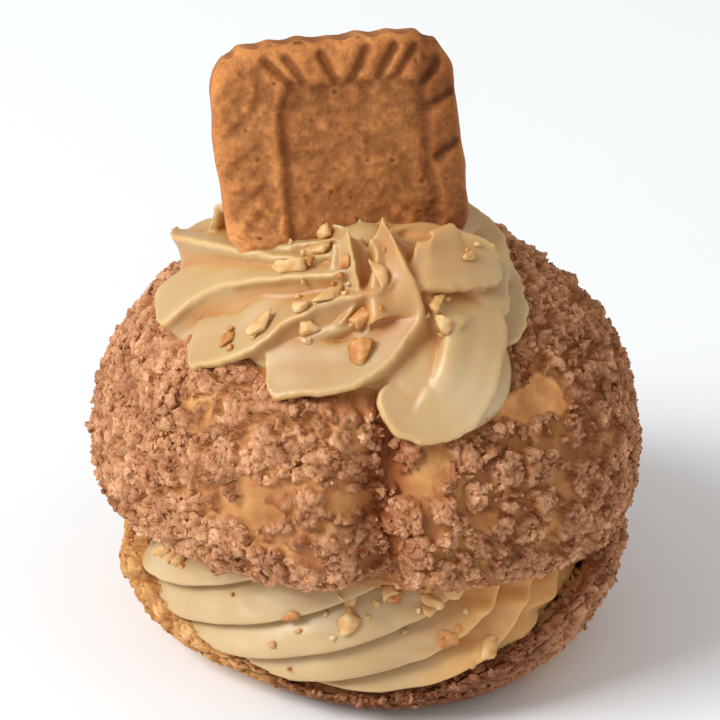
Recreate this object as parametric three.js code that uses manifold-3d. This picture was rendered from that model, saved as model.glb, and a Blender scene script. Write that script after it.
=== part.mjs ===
// Choux bun, split in two: a shallow base, piped cream, a crackled lid tipped back on the cream,
// and on the lid a piped rosette that holds a crimped biscuit. Millimetres, +Z up, front at -Y.
import * as THREE from 'three';
import { mergeVertices } from 'three/addons/utils/BufferGeometryUtils.js';
import Module from 'manifold-3d';

const wasm = await Module();
wasm.setup();

// Air left between neighbouring pieces
const CLEARANCE = 0.3;

// Slivers thinner than this are taken out of a finished solid
const SLIVER = 0.1;

// Corners of different sheets that lie closer than this are drawn apart
const TOUCH = 0.004;

// Base: a shallow dish of choux that stands on a flat foot
const FOOT_RADIUS = 23;
const BASE_RADIUS = 32;
const BASE_WALL = 5;
const DISH_FLOOR = 3;
const DISH_FLOOR_RADIUS = 21.5;
const BASE_RIM = 5.2;
const RIM_RISE_RIGHT = 10.6;
const RIM_RISE_LEFT = 3;
const RIM_RISE_BACK = 5;
const RIM_STEEPNESS = 1.5;
const RIM_ROUNDING = 0.95;
const BASE_CRUMB = 0.7;

// The base is wider to the right, and flatter at the front's left, as shares of its radius
const BASE_SHIFT = 0.035;
const BASE_FLAT = { azimuth: -128, halfWidth: 38, depth: 0.07 };
const BASE_WALL_ROWS = 5;
const BASE_SEGMENTS = 60;

// Lid: a dome measured from the middle of its widest ring, with a flat cut underneath
const LID_RADIUS = 33.8;
const LID_HEIGHT = 28.6;
const LID_DEPTH = 26;
const LID_CENTRE_X = -1.4;
const LID_CENTRE_Z = 25.8;
const LID_TILT = 8;
const LID_CUT_LATITUDE = -15;
const LID_CUT_EDGE = 3;
const LID_SEGMENTS = 84;
const LID_ROWS = 22;
const SWELL = 0.7;
const SWELL_SIZE = 19;
const CRUST = 0.9;
const LUMP_SIZE = 5.2;
const LUMP_HEIGHT = 1.8;

// Degrees over which the crust thins out at the edge of the rosette
const CRUST_FADE = 12;

// Valley that parts the lid's front into two cheeks, in degrees of latitude and azimuth
const VALLEY = { azimuth: -83, halfWidth: 7, low: -18, high: 22, fade: 6, depth: 3 };

// Places where the crust has pulled apart and bare choux shows, in degrees, and how far in and out
// of a patch's outline its edge fades
const BARE_INNER = 0.6;
const BARE_OUTER = 1.2;
const BARE_PATCHES = [
  { latitude: 26, azimuth: -45, halfLength: 15, halfHeight: 5 },
  { latitude: 13, azimuth: -76, halfLength: 6, halfHeight: 7 },
  { latitude: 18, azimuth: -127, halfLength: 4, halfHeight: 10 },
  { latitude: 2, azimuth: -112, halfLength: 11, halfHeight: 4 },
  { latitude: 6, azimuth: -93, halfLength: 8, halfHeight: 3 },
  { latitude: 2, azimuth: -64, halfLength: 5, halfHeight: 3 },
  { latitude: 30, azimuth: 40, halfLength: 14, halfHeight: 5 },
  { latitude: 8, azimuth: 75, halfLength: 10, halfHeight: 6 },
  { latitude: 24, azimuth: 140, halfLength: 6, halfHeight: 11 },
];

// Filling: piped cream between base and lid, with slanting overlapped pleats
const FILLING_X = -1.6;
const FILLING_Y = -3.6;
const FILLING_FOOT_RADIUS = 16.5;
const FILLING_NECK_RADIUS = 20.5;
const FILLING_SKIRT = 5.9;
const FILLING_RADIUS = 26.6;
const FILLING_TOP_RADIUS = 24;
const FILLING_WIDEST = 0.25;
const FILLING_TUCK = 0.8;
const PLEATS = 12;
const PLEAT_SHARES = [0, 0.2, 0.4, 0.6, 0.78, 0.93, 0.98];
const PLEAT_COLUMNS = PLEAT_SHARES.length;
const PLEAT_LIP = 0.93;
const PLEAT_MIDDLE = 0.6;
const PLEAT_VARIETY = 0.35;
const PLEAT_FADE = 0.4;
const PLEAT_ROWS = 8;
const PLEAT_DEPTH = 2.4;
const PLEAT_TWIST = 92;
const PLEAT_CURL = 0.7;
const PLEAT_START = 55;

// Rosette: blades of piped cream that wind into a heart at the front of the lid's top
const ROSETTE_LATITUDE = 60;
const ROSETTE_AZIMUTH = -95;
const MOUND_HEIGHT = 4;
const MOUND_REACH = 34;
const MOUND_ROOT = 2;
const PEAK_HEIGHT = 6.5;
const PEAK_REACH = 9;
const LIP = 1.7;
const UNDERCUT = 1.6;
const BLADE_ROOT = 1.5;
const BLADE_ROOM = 0.7;
const BLADE_SIDES = 8;
const BLADE_STATIONS = 12;
const BLADE_CROWDING = 1.2;
const BLUNT_MIDDLE = 0.4;
const BLUNT_WIDTH = 0.95;
const WIDENING = 0.35;

// Each blade at the front: its lip from tip to heart, as angle and distance from the heart in degrees and
// height over the lid's dome, the widths of its tip and face, the dip of its face, and the share of it that
// rounds its tip
const BLADES = [
  {
    lip: [[-171, 51, 3.4], [-166, 35, 3.7], [-153, 21, 5], [-122, 11, 7.5], [-90, 4, 10]],
    tipWidth: 10, width: 8, dip: 0.35, blunt: 0.05,
  },
  {
    lip: [[-154, 49, 3.2], [-129, 24, 4], [-114, 17, 5.5], [-100, 10, 8], [-110, 4, 10]],
    tipWidth: 7, width: 6, dip: 0.35, blunt: 0.05,
  },
  {
    lip: [[-125, 38, 2.8], [-93, 30, 3.2], [-76, 26, 4], [-54, 20, 6], [-48, 11, 9], [-40, 4, 11.5]],
    tipWidth: 10, width: 5.5, dip: 0.35, blunt: 0.05,
  },
  {
    lip: [[-80, 42, 2.8], [-58, 43.5, 3], [-25, 33, 3.8], [-12, 26, 5], [-9, 16, 7.5], [-5, 5, 10]],
    tipWidth: 15, width: 13, dip: 0.2, blunt: 0.09,
  },
  {
    lip: [[-33, 36, 2], [-12, 36.5, 3], [3, 35, 4], [8, 27, 6], [12, 15, 8.5], [10, 5, 10.5]],
    tipWidth: 5, width: 9, dip: 0.25, blunt: 0.08,
  },
  {
    lip: [[160, 46, 7.5], [168, 39, 5.5], [181, 27, 6], [208, 13, 8], [225, 4, 10.5]],
    tipWidth: 5, width: 9, dip: 0.35, blunt: 0.12,
  },
];

// The blades at the back are alike, each turned further about the heart
const BACK_BLADE = {
  lip: [[10, 43, 2.7], [28, 40, 3.4], [50, 30, 4.8], [66, 17, 7.5], [67, 5, 10.5]],
  tipWidth: 7, width: 11, dip: 0.3, blunt: 0.12,
};
const BACK_TURNS = [0, 38, 76, 114];

// Upper petal that folds the other way over the right-hand blade
const PETAL = {
  lip: [[-8, 28, 6.3], [-18, 24.5, 6], [-38, 16, 7], [-46, 9, 9]],
  tipWidth: 5, width: 8, dip: 0.05, blunt: 0.12,
};

// Biscuit: a crimped plate with a sunk panel, leaning back in the rosette
const BISCUIT_WIDTH = 29.4;
const BISCUIT_HEIGHT = 28;
const BISCUIT_THICKNESS = 6;
const BISCUIT_CORNER = 5.2;
const BISCUIT_BEVEL = 1;
const BISCUIT_STEPS = 48;
const PANEL_STEPS = 24;
const PANEL = { width: 18, height: 21, corner: 3, depth: 0.9, x: 2, y: -1.6 };

// Crimps fanned over the biscuit's border, each from its inner to its outer end
const CRIMP_WIDTH = 1.1;
const CRIMP_DEPTH = 0.7;
const CRIMPS = [
  [[-4.5, 8.8], [-7.5, 11.8]],
  [[-3.3, 8.8], [-5.2, 12.2]],
  [[0.5, 8.8], [-1, 12.2]],
  [[2, 8.8], [4.2, 12.4]],
  [[5.3, 8.8], [7.6, 12.4]],
  [[7, 8.1], [10, 12]],
  [[9.7, 6.7], [12.6, 9.8]],
  [[10.7, 4.4], [13.6, 6.1]],
  [[11, -1.8], [13.8, 0]],
];
const BISCUIT_MIDDLE = new THREE.Vector3(-7.2, -7, 68.6);
const BISCUIT_LEAN_BACK = 12;
const BISCUIT_LEAN_LEFT = 8;
const BISCUIT_TURN = 9;

// Chopped nuts: their width as a share of their length, their height and how high their middle lies
// as shares of their width
const NUT_SLIMMEST = 0.55;
const NUT_STOUTEST = 0.8;
const NUT_FLATNESS = 0.8;
const NUT_LIFT = 0.15;

// Nuts on the rosette: angle and distance from the heart in degrees, and length
const ROSETTE_NUTS = [
  { angle: -137, distance: 25, length: 3.8 },
  { angle: -145, distance: 32, length: 2.6 },
  { angle: -116, distance: 21.5, length: 2.8 },
  { angle: -110, distance: 15.5, length: 4 },
  { angle: -89, distance: 19, length: 3.6 },
  { angle: -88, distance: 24, length: 3.6 },
  { angle: -69, distance: 11, length: 3.8 },
  { angle: -145, distance: 12.5, length: 4 },
  { angle: -169, distance: 14, length: 3.4 },
  { angle: -4, distance: 21, length: 3 },
  { angle: -50, distance: 25, length: 3 },
];

// Nuts on the filling: angle round the bun, share of the filling's height, and length
const FILLING_NUTS = [
  { angle: -148, rise: 0.72, length: 3.4 },
  { angle: -138, rise: 0.6, length: 3.2 },
  { angle: -126, rise: 0.7, length: 3.6 },
  { angle: -88, rise: 0.62, length: 3 },
  { angle: -79, rise: 0.72, length: 3 },
  { angle: -66, rise: 0.7, length: 3.2 },
  { angle: -57, rise: 0.72, length: 3.4 },
  { angle: -60, rise: 0.34, length: 2.6 },
  { angle: -46, rise: 0.36, length: 3.2 },
];

const { clamp, degToRad: rad, euclideanModulo, lerp, radToDeg: deg, smoothstep } = THREE.MathUtils;

// Repeatable scatter: a share between 0 and 1 for a cell of space
function scatter(x, y, z, seed) {
  const wave = Math.sin(x * 127.1 + y * 311.7 + z * 74.7 + seed * 53.3) * 43758.5453;
  return wave - Math.floor(wave);
}

// Smooth unevenness between -1 and 1, with features of the given size
function unevenness(point, size, seed) {
  const scaled = point.clone().divideScalar(size);
  const cell = scaled.clone().floor();
  const part = scaled.sub(cell);
  let sum = 0;
  for (let corner = 0; corner < 8; corner += 1) {
    const dx = corner & 1;
    const dy = (corner >> 1) & 1;
    const dz = corner >> 2;
    const weightX = smoothstep(dx ? part.x : 1 - part.x, 0, 1);
    const weightY = smoothstep(dy ? part.y : 1 - part.y, 0, 1);
    const weightZ = smoothstep(dz ? part.z : 1 - part.z, 0, 1);
    sum += weightX * weightY * weightZ * scatter(cell.x + dx, cell.y + dy, cell.z + dz, seed);
  }
  return sum * 2 - 1;
}

// Rounded crumbs: 1 on the middle of a crumb and 0 in the cracks between crumbs
function crumbs(point, size, seed) {
  const scaled = point.clone().divideScalar(size);
  const cell = scaled.clone().floor();
  const middle = new THREE.Vector3();
  let nearest = 1;
  for (let step = 0; step < 27; step += 1) {
    const x = cell.x + (step % 3) - 1;
    const y = cell.y + (Math.floor(step / 3) % 3) - 1;
    const z = cell.z + Math.floor(step / 9) - 1;
    middle.set(scatter(x, y, z, seed), scatter(x, y, z, seed + 1), scatter(x, y, z, seed + 2));
    middle.add(new THREE.Vector3(x, y, z));
    nearest = Math.min(nearest, middle.distanceTo(scaled));
  }
  return 1 - nearest * nearest;
}

// Turns a three.js geometry into a closed solid with its faces pointing out
function solid(geometry) {
  const bare = geometry.clone();
  bare.deleteAttribute('normal');
  bare.deleteAttribute('uv');
  const merged = mergeVertices(bare, 1e-5);
  const places = merged.getAttribute('position');
  const corners = [];
  for (let i = 0; i < merged.index.count; i += 3) {
    const triangle = [0, 1, 2].map((k) => merged.index.getX(i + k));
    if (new Set(triangle).size === 3) {
      corners.push(...triangle);
    }
  }
  const a = new THREE.Vector3();
  const b = new THREE.Vector3();
  const c = new THREE.Vector3();
  let volume = 0;
  for (let i = 0; i < corners.length; i += 3) {
    a.fromBufferAttribute(places, corners[i]);
    b.fromBufferAttribute(places, corners[i + 1]);
    c.fromBufferAttribute(places, corners[i + 2]);
    volume += a.dot(b.cross(c));
  }
  const triVerts = Uint32Array.from(volume < 0 ? corners.reverse() : corners);
  const vertProperties = Float32Array.from(places.array);
  return new wasm.Manifold(new wasm.Mesh({ numProp: 3, vertProperties, triVerts }));
}

// Turns a solid back into a geometry
function geometryOf(body) {
  const mesh = body.getMesh();
  const geometry = new THREE.BufferGeometry();
  geometry.setAttribute('position', new THREE.BufferAttribute(mesh.vertProperties, 3));
  geometry.setIndex(new THREE.BufferAttribute(mesh.triVerts, 1));
  return geometry;
}

// Moves every vertex of a geometry by a rule that changes the vector it is given
function reshape(geometry, rule) {
  const places = geometry.getAttribute('position');
  const place = new THREE.Vector3();
  for (let i = 0; i < places.count; i += 1) {
    place.fromBufferAttribute(places, i);
    rule(place);
    places.setXYZ(i, place.x, place.y, place.z);
  }
  return geometry;
}

// Turns an outline of [radius, height] pairs about the Z axis
function turned(outline, segments) {
  const points = outline.map(([radius, height]) => new THREE.Vector2(radius, height));
  return new THREE.LatheGeometry(points, segments).rotateX(Math.PI / 2);
}

// Draws each corner that touches another one a little towards the corners it is joined to
function parted(geometry) {
  const places = geometry.getAttribute('position');
  const joined = Array.from({ length: places.count }, () => new THREE.Vector3());
  const counts = new Array(places.count).fill(0);
  const owners = new Map();
  const corner = new THREE.Vector3();
  for (let i = 0; i < geometry.index.count; i += 1) {
    const here = geometry.index.getX(i);
    const next = geometry.index.getX(i % 3 === 2 ? i - 2 : i + 1);
    joined[here].add(corner.fromBufferAttribute(places, next));
    counts[here] += 1;
  }
  for (let i = 0; i < places.count; i += 1) {
    corner.fromBufferAttribute(places, i);
    const spot = corner.toArray().map((value) => Math.round(value / TOUCH)).join();
    owners.set(spot, [...(owners.get(spot) ?? []), i]);
  }
  for (const touching of [...owners.values()].filter((group) => group.length > 1)) {
    for (const i of touching) {
      corner.fromBufferAttribute(places, i);
      const pull = joined[i].divideScalar(counts[i]).sub(corner).setLength(5 * TOUCH);
      corner.add(pull);
      places.setXYZ(i, corner.x, corner.y, corner.z);
    }
  }
  return geometry;
}

function node(name, body, colour, roughness) {
  const material = new THREE.MeshStandardMaterial({ color: colour, roughness, metalness: 0 });
  const clean = largest(solid(parted(geometryOf(body.simplify(SLIVER)))));
  const mesh = new THREE.Mesh(geometryOf(clean), material);
  mesh.name = name;
  return mesh;
}

// Base

// The rim of the base is torn aslant: lowest at the front, highest at the right
function baseRim(x, y) {
  const right = Math.max(0, x / BASE_RADIUS) ** RIM_STEEPNESS;
  const left = Math.max(0, -x / BASE_RADIUS) ** RIM_STEEPNESS;
  const back = Math.max(0, y / BASE_RADIUS) ** RIM_STEEPNESS;
  return BASE_RIM + RIM_RISE_RIGHT * right + RIM_RISE_LEFT * left + RIM_RISE_BACK * back;
}

// How much wider than round the base is towards a point
function baseGrowth(x, y) {
  const azimuth = Math.atan2(y, x);
  const across = turnBetween(deg(azimuth), BASE_FLAT.azimuth) / BASE_FLAT.halfWidth;
  return 1 + BASE_SHIFT * Math.max(0, Math.cos(azimuth)) - BASE_FLAT.depth * Math.exp(-across * across);
}

// Inner radius of the dish at a share of the height from its floor to its rim
function dishRadius(share) {
  return lerp(DISH_FLOOR_RADIUS, BASE_RADIUS - BASE_WALL, Math.sqrt(clamp(share, 0, 1)));
}

function baseSolid() {
  const outline = [[0, 0], [FOOT_RADIUS / 2, 0], [FOOT_RADIUS, 0]];
  for (let i = 1; i <= BASE_WALL_ROWS; i += 1) {
    const bend = (i / BASE_WALL_ROWS) * (Math.PI / 2);
    const radius = lerp(FOOT_RADIUS, BASE_RADIUS, Math.sin(bend));
    outline.push([radius, BASE_RIM * RIM_ROUNDING * (1 - Math.cos(bend))]);
  }
  outline.push([BASE_RADIUS - BASE_WALL / 2, BASE_RIM]);
  for (let i = BASE_WALL_ROWS; i >= 0; i -= 1) {
    const share = (i / BASE_WALL_ROWS) ** 2;
    outline.push([dishRadius(share), lerp(DISH_FLOOR, BASE_RIM * RIM_ROUNDING, share)]);
  }
  outline.push([DISH_FLOOR_RADIUS / 2, DISH_FLOOR]);
  outline.push([0, DISH_FLOOR]);
  const crust = reshape(turned(outline, BASE_SEGMENTS), (place) => {
    const across = Math.hypot(place.x, place.y);
    const stretch = baseRim(place.x, place.y) / BASE_RIM;
    const outside = smoothstep(across, BASE_RADIUS - BASE_WALL, BASE_RADIUS - BASE_WALL / 2);
    const aboveFoot = smoothstep(place.z, 0, BASE_RIM / 2);
    if (across <= dishRadius(1) + CLEARANCE && place.z >= DISH_FLOOR) {
      const share = (place.z - DISH_FLOOR) / (BASE_RIM - DISH_FLOOR);
      place.z = lerp(DISH_FLOOR, BASE_RIM * stretch, share);
    } else {
      place.z *= stretch;
    }
    const crumb = BASE_CRUMB * (2 * crumbs(place, LUMP_SIZE, 11) - 1);
    const grow = baseGrowth(place.x, place.y) + (aboveFoot * outside * crumb) / BASE_RADIUS;
    place.x *= grow;
    place.y *= grow;
  });
  return solid(crust);
}

// Lid, in a frame of its own with the middle of its widest ring at the origin

// Distance from the lid's middle to its plain dome in a direction of length 1
function domeRadius(direction) {
  const height = direction.z > 0 ? LID_HEIGHT : LID_DEPTH;
  const flat = Math.hypot(direction.x, direction.y) / LID_RADIUS;
  return 1 / Math.hypot(flat, direction.z / height);
}

function directionAt(latitude, azimuth) {
  const level = Math.cos(rad(latitude));
  const east = level * Math.cos(rad(azimuth));
  const north = level * Math.sin(rad(azimuth));
  return new THREE.Vector3(east, north, Math.sin(rad(latitude)));
}

// Degrees between two azimuths, from -180 to 180
function turnBetween(azimuth, other) {
  return euclideanModulo(azimuth - other + 180, 360) - 180;
}

// 1 where the crust has parted over bare choux, 0 where it is whole
function bareness(latitude, azimuth) {
  let most = 0;
  for (const patch of BARE_PATCHES) {
    const along = turnBetween(azimuth, patch.azimuth) / patch.halfLength;
    const up = (latitude - patch.latitude) / patch.halfHeight;
    most = Math.max(most, 1 - smoothstep(Math.hypot(along, up), BARE_INNER, BARE_OUTER));
  }
  return most;
}

function valley(latitude, azimuth) {
  const across = turnBetween(azimuth, VALLEY.azimuth) / VALLEY.halfWidth;
  const foot = smoothstep(latitude, VALLEY.low - VALLEY.fade, VALLEY.low + VALLEY.fade);
  const head = 1 - smoothstep(latitude, VALLEY.high - VALLEY.fade, VALLEY.high + VALLEY.fade);
  return Math.exp(-across * across) * foot * head;
}

// The crust thins to nothing where the rosette covers it
function crustCover(direction) {
  const away = deg(direction.angleTo(HEART));
  return smoothstep(away, MOUND_REACH - CRUST_FADE / 3, MOUND_REACH + (2 * CRUST_FADE) / 3);
}

// Broad form of the lid, without crumbs
function lidForm(direction) {
  const latitude = deg(Math.asin(direction.z));
  const azimuth = deg(Math.atan2(direction.y, direction.x));
  const broad = direction.clone().multiplyScalar(LID_RADIUS);
  const swell = SWELL * unevenness(broad, SWELL_SIZE, 1);
  return domeRadius(direction) + swell - VALLEY.depth * valley(latitude, azimuth);
}

function lidCrust(direction) {
  const latitude = deg(Math.asin(direction.z));
  const azimuth = deg(Math.atan2(direction.y, direction.x));
  const broad = direction.clone().multiplyScalar(LID_RADIUS);
  const whole = (1 - bareness(latitude, azimuth)) * crustCover(direction);
  return whole * (CRUST + LUMP_HEIGHT * (crumbs(broad, LUMP_SIZE, 3) - 0.5));
}

const HEART = directionAt(ROSETTE_LATITUDE, ROSETTE_AZIMUTH);
const CUT = directionAt(LID_CUT_LATITUDE, 0);
const LID_CUT_Z = CUT.z * domeRadius(CUT);
const LID_CUT_RADIUS = CUT.x * domeRadius(CUT);

function lidSolid() {
  const flat = LID_CUT_RADIUS - LID_CUT_EDGE;
  const outline = [[0, LID_CUT_Z], [flat / 2, LID_CUT_Z], [flat, LID_CUT_Z]];
  for (let i = 0; i <= LID_ROWS; i += 1) {
    const latitude = lerp(LID_CUT_LATITUDE, 90, i / LID_ROWS);
    const direction = directionAt(latitude, 0);
    const radius = domeRadius(direction);
    outline.push([i === LID_ROWS ? 0 : direction.x * radius, direction.z * radius]);
  }
  const dome = reshape(turned(outline, LID_SEGMENTS), (place) => {
    const across = Math.hypot(place.x, place.y);
    if (place.z < 0 && across < LID_CUT_RADIUS - LID_CUT_EDGE / 2) {
      return;
    }
    const direction = place.clone().normalize();
    place.copy(direction).multiplyScalar(lidForm(direction) + lidCrust(direction));
  });
  return solid(dome);
}

// Filling

const tiltSine = Math.sin(rad(LID_TILT));
const tiltCosine = Math.cos(rad(LID_TILT));

// Height of the lid's flat underside above a point of the ground
function lidUnderside(y) {
  return LID_CENTRE_Z + (LID_CUT_Z - y * tiltSine) / tiltCosine;
}

// Radius of the cream at a share of its height above the base's rim, without pleats
function fillingRadius(rise) {
  const share = rise < FILLING_WIDEST ? 1 - rise / FILLING_WIDEST : 0;
  const above = Math.max(0, rise - FILLING_WIDEST) / (1 - FILLING_WIDEST);
  return lerp(FILLING_RADIUS, FILLING_TOP_RADIUS, above * above) - FILLING_TUCK * share * share;
}

// A pleat swells slowly to its lip and then steps back
function pleat(share) {
  return share < PLEAT_LIP ? (share / PLEAT_LIP) ** 0.8 : (1 - share) / (1 - PLEAT_LIP);
}

// Presses cream that would run into the wall of the base back inside it
function keepInDish(place) {
  const grow = baseGrowth(place.x, place.y);
  const rim = baseRim(place.x / grow, place.y / grow);
  const overRim = CLEARANCE * (1 + rim - BASE_RIM);
  if (place.z > rim + overRim) {
    return;
  }
  const share = (place.z - DISH_FLOOR) / (rim - DISH_FLOOR);
  const room = dishRadius(share) * grow - 3 * CLEARANCE;
  const across = Math.hypot(place.x, place.y);
  if (across > room) {
    place.x *= room / across;
    place.y *= room / across;
  }
}

function fillingSolid() {
  const columns = PLEATS * PLEAT_COLUMNS;
  const outline = [[0, -2], [0.5, -2], [1, -2], [1, -1]];
  for (let i = 0; i <= PLEAT_ROWS; i += 1) {
    outline.push([1, i / PLEAT_ROWS]);
  }
  outline.push([0.5, 1], [0, 1]);
  const cream = reshape(turned(outline, columns), (place) => {
    const across = Math.hypot(place.x, place.y);
    const row = place.z;
    const rise = Math.max(0, row);
    const column = Math.round((Math.atan2(place.y, place.x) / (2 * Math.PI)) * columns) + columns;
    const pleatNumber = Math.floor(column / PLEAT_COLUMNS) % PLEATS;
    const share = PLEAT_SHARES[column % PLEAT_COLUMNS];
    const width = 1 + PLEAT_VARIETY * (scatter(pleatNumber, 0, 0, 5) - 0.5);
    const turn = ((pleatNumber + share) / PLEATS) * 360 + PLEAT_TWIST * rise ** PLEAT_CURL - PLEAT_START;
    const held = 1 - PLEAT_FADE * smoothstep(rise, 0.75, 1);
    const relief = PLEAT_DEPTH * width * held * (pleat(share) - PLEAT_MIDDLE);
    const inDish = row < -1.5 ? FILLING_FOOT_RADIUS : FILLING_NECK_RADIUS;
    const radius = (row < 0 ? inDish : fillingRadius(rise) + relief) * across;
    place.x = FILLING_X + radius * Math.cos(rad(turn));
    place.y = FILLING_Y + radius * Math.sin(rad(turn));
    const under = row < -1.5 ? DISH_FLOOR + CLEARANCE : FILLING_SKIRT - CLEARANCE;
    place.z = row < 0 ? under : lerp(FILLING_SKIRT, lidUnderside(place.y) - CLEARANCE, rise);
    keepInDish(place);
  });
  return solid(cream);
}

// Rosette, in the lid's frame

const heartRight = new THREE.Vector3(0, 1, 0).cross(HEART).normalize();
const heartBack = HEART.clone().cross(heartRight);

// Point over the lid's dome: angle and distance from the heart in degrees, height above the dome
function overDome(angle, distance, height) {
  const outward = heartRight.clone().multiplyScalar(Math.cos(rad(angle)));
  outward.addScaledVector(heartBack, Math.sin(rad(angle)));
  const direction = HEART.clone().multiplyScalar(Math.cos(rad(distance)));
  direction.addScaledVector(outward, Math.sin(rad(distance)));
  return direction.multiplyScalar(domeRadius(direction) + height);
}

// A closed tube whose section changes along it: the section is a ring of points for a share 0 to 1
function sweep(section, sides, stations) {
  const rings = [];
  for (let i = 0; i <= stations; i += 1) {
    rings.push(section(i / stations));
  }
  const tube = new THREE.CylinderGeometry(1, 1, 1, sides, stations);
  return reshape(tube, (place) => {
    const ring = rings[Math.round((0.5 - place.y) * stations)];
    if (Math.hypot(place.x, place.z) < 0.5) {
      place.set(0, 0, 0);
      ring.forEach((point) => place.addScaledVector(point, 1 / sides));
      return;
    }
    const turn = Math.atan2(place.x, place.z) / (2 * Math.PI);
    place.copy(ring[(Math.round(turn * sides) + sides) % sides]);
  });
}

// One blade: a thin lip over an undercut, and a face that dips inwards from the lip
function bladeSolid(blade, side) {
  const places = blade.lip.map(([angle, distance, height]) => overDome(angle, distance, height));
  const crest = new THREE.CatmullRomCurve3(places, false, 'catmullrom');
  const section = (share) => {
    const along = share ** BLADE_CROWDING;
    const lip = crest.getPointAt(along);
    const up = lip.clone().normalize();
    const height = lip.length() - domeRadius(up);
    const here = up.clone().multiplyScalar(domeRadius(up));
    const inward = up.clone().cross(crest.getTangentAt(along)).normalize().multiplyScalar(side);
    const room = up.angleTo(HEART) * LID_HEIGHT * BLADE_ROOM;
    const width = Math.min(lerp(blade.tipWidth, blade.width, smoothstep(along, 0, WIDENING)), room);
    const undercut = Math.min(UNDERCUT, width / 2);
    const blunt = 1 - Math.min(along / blade.blunt, 1);
    const opened = Math.sqrt(1 - BLUNT_WIDTH * blunt * blunt);
    const at = (across, rise) => {
      const shifted = lerp(width * BLUNT_MIDDLE, across, opened);
      const direction = here.clone().addScaledVector(inward, shifted).normalize();
      return direction.multiplyScalar(domeRadius(direction) + rise);
    };
    const face = (across) => height * (1 - blade.dip * Math.sin(across * (Math.PI / 2)));
    return [
      at(0, height),
      at(width * 0.2, face(0.2)),
      at(width * 0.5, face(0.5)),
      at(width, face(1)),
      at(width, -BLADE_ROOT),
      at(undercut, -BLADE_ROOT),
      at(undercut * 0.7, Math.max(height - 1.5 * LIP, -1)),
      at(-0.1, height - LIP),
    ];
  };
  return solid(sweep(section, BLADE_SIDES, BLADE_STATIONS));
}

function moundSolid() {
  const mound = reshape(new THREE.SphereGeometry(1, 28, 12), (place) => {
    const angle = deg(Math.atan2(place.z, place.x));
    const away = deg(Math.acos(clamp(place.y, -1, 1)));
    const distance = away < 90 ? (away / 90) * MOUND_REACH : ((180 - away) / 90) * MOUND_REACH;
    const shape = Math.cos((distance / MOUND_REACH) * (Math.PI / 2));
    const peak = PEAK_HEIGHT * Math.exp(-((distance / PEAK_REACH) ** 2));
    const height = away < 90 ? MOUND_HEIGHT * shape + peak : -MOUND_ROOT * shape;
    place.copy(overDome(angle, distance, height));
  });
  return solid(mound);
}

// Everything that the rosette must keep clear of: the lid's form with its thickest crust
function seatSolid() {
  const seat = reshape(new THREE.SphereGeometry(1, 52, 26), (place) => {
    const direction = place.clone().normalize();
    const thickest = crustCover(direction) * (CRUST + LUMP_HEIGHT / 2);
    place.copy(direction).multiplyScalar(lidForm(direction) + thickest + 1.5 * CLEARANCE);
  });
  return solid(seat);
}

// Nuts

// A chopped nut lying on a surface, its middle sunk a little
function nutSolid(place, outward, length, number) {
  const nut = new THREE.IcosahedronGeometry(0.5, 0);
  const width = length * lerp(NUT_SLIMMEST, NUT_STOUTEST, scatter(number, 1, 0, 7));
  nut.scale(length, width, width * NUT_FLATNESS);
  nut.rotateZ(2 * Math.PI * scatter(number, 2, 0, 7));
  const lying = new THREE.Quaternion().setFromUnitVectors(new THREE.Vector3(0, 0, 1), outward);
  nut.applyQuaternion(lying);
  const middle = place.clone().addScaledVector(outward, width * NUT_LIFT);
  nut.translate(middle.x, middle.y, middle.z);
  return solid(nut);
}

// First place where a line from a point in a direction meets a body
function landing(body, from, direction) {
  const bothSides = new THREE.MeshBasicMaterial({ side: THREE.DoubleSide });
  const skin = new THREE.Mesh(geometryOf(body), bothSides);
  const hits = new THREE.Raycaster(from, direction).intersectObject(skin);
  return hits[0].point;
}

function rosetteSolid(slot) {
  let cream = moundSolid();
  const backBlades = BACK_TURNS.map((turn) => {
    const lip = BACK_BLADE.lip.map(([angle, distance, height]) => [angle + turn, distance, height]);
    return { ...BACK_BLADE, lip };
  });
  for (const blade of [...BLADES, ...backBlades]) {
    cream = cream.add(bladeSolid(blade, 1));
  }
  cream = cream.add(bladeSolid(PETAL, -1));
  const plain = cream;
  ROSETTE_NUTS.forEach((nut, number) => {
    const outside = overDome(nut.angle, nut.distance, LID_HEIGHT);
    const outward = outside.clone().normalize();
    const place = landing(plain, outside, outward.clone().negate());
    cream = cream.add(nutSolid(place, outward, nut.length, number));
  });
  return largest(cream.subtract(seatSolid()).subtract(slot));
}

// The biggest of the separate bodies in a solid
function largest(body) {
  return body.decompose().reduce((best, part) => (part.volume() > best.volume() ? part : best));
}

function filledWithNuts() {
  const plain = fillingSolid();
  let cream = plain;
  FILLING_NUTS.forEach((nut, number) => {
    const outward = directionAt(0, nut.angle);
    const middle = new THREE.Vector3(FILLING_X, FILLING_Y, 0);
    const outside = middle.clone().addScaledVector(outward, 2 * FILLING_RADIUS);
    const ceiling = lidUnderside(FILLING_Y + outward.y * FILLING_RADIUS);
    outside.z = lerp(FILLING_SKIRT, ceiling, nut.rise);
    const place = landing(plain, outside, outward.clone().negate());
    cream = cream.add(nutSolid(place, outward, nut.length, number + 40));
  });
  return cream;
}

// Biscuit, standing in its own frame: width along X, thickness along Y, height along Z

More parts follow.
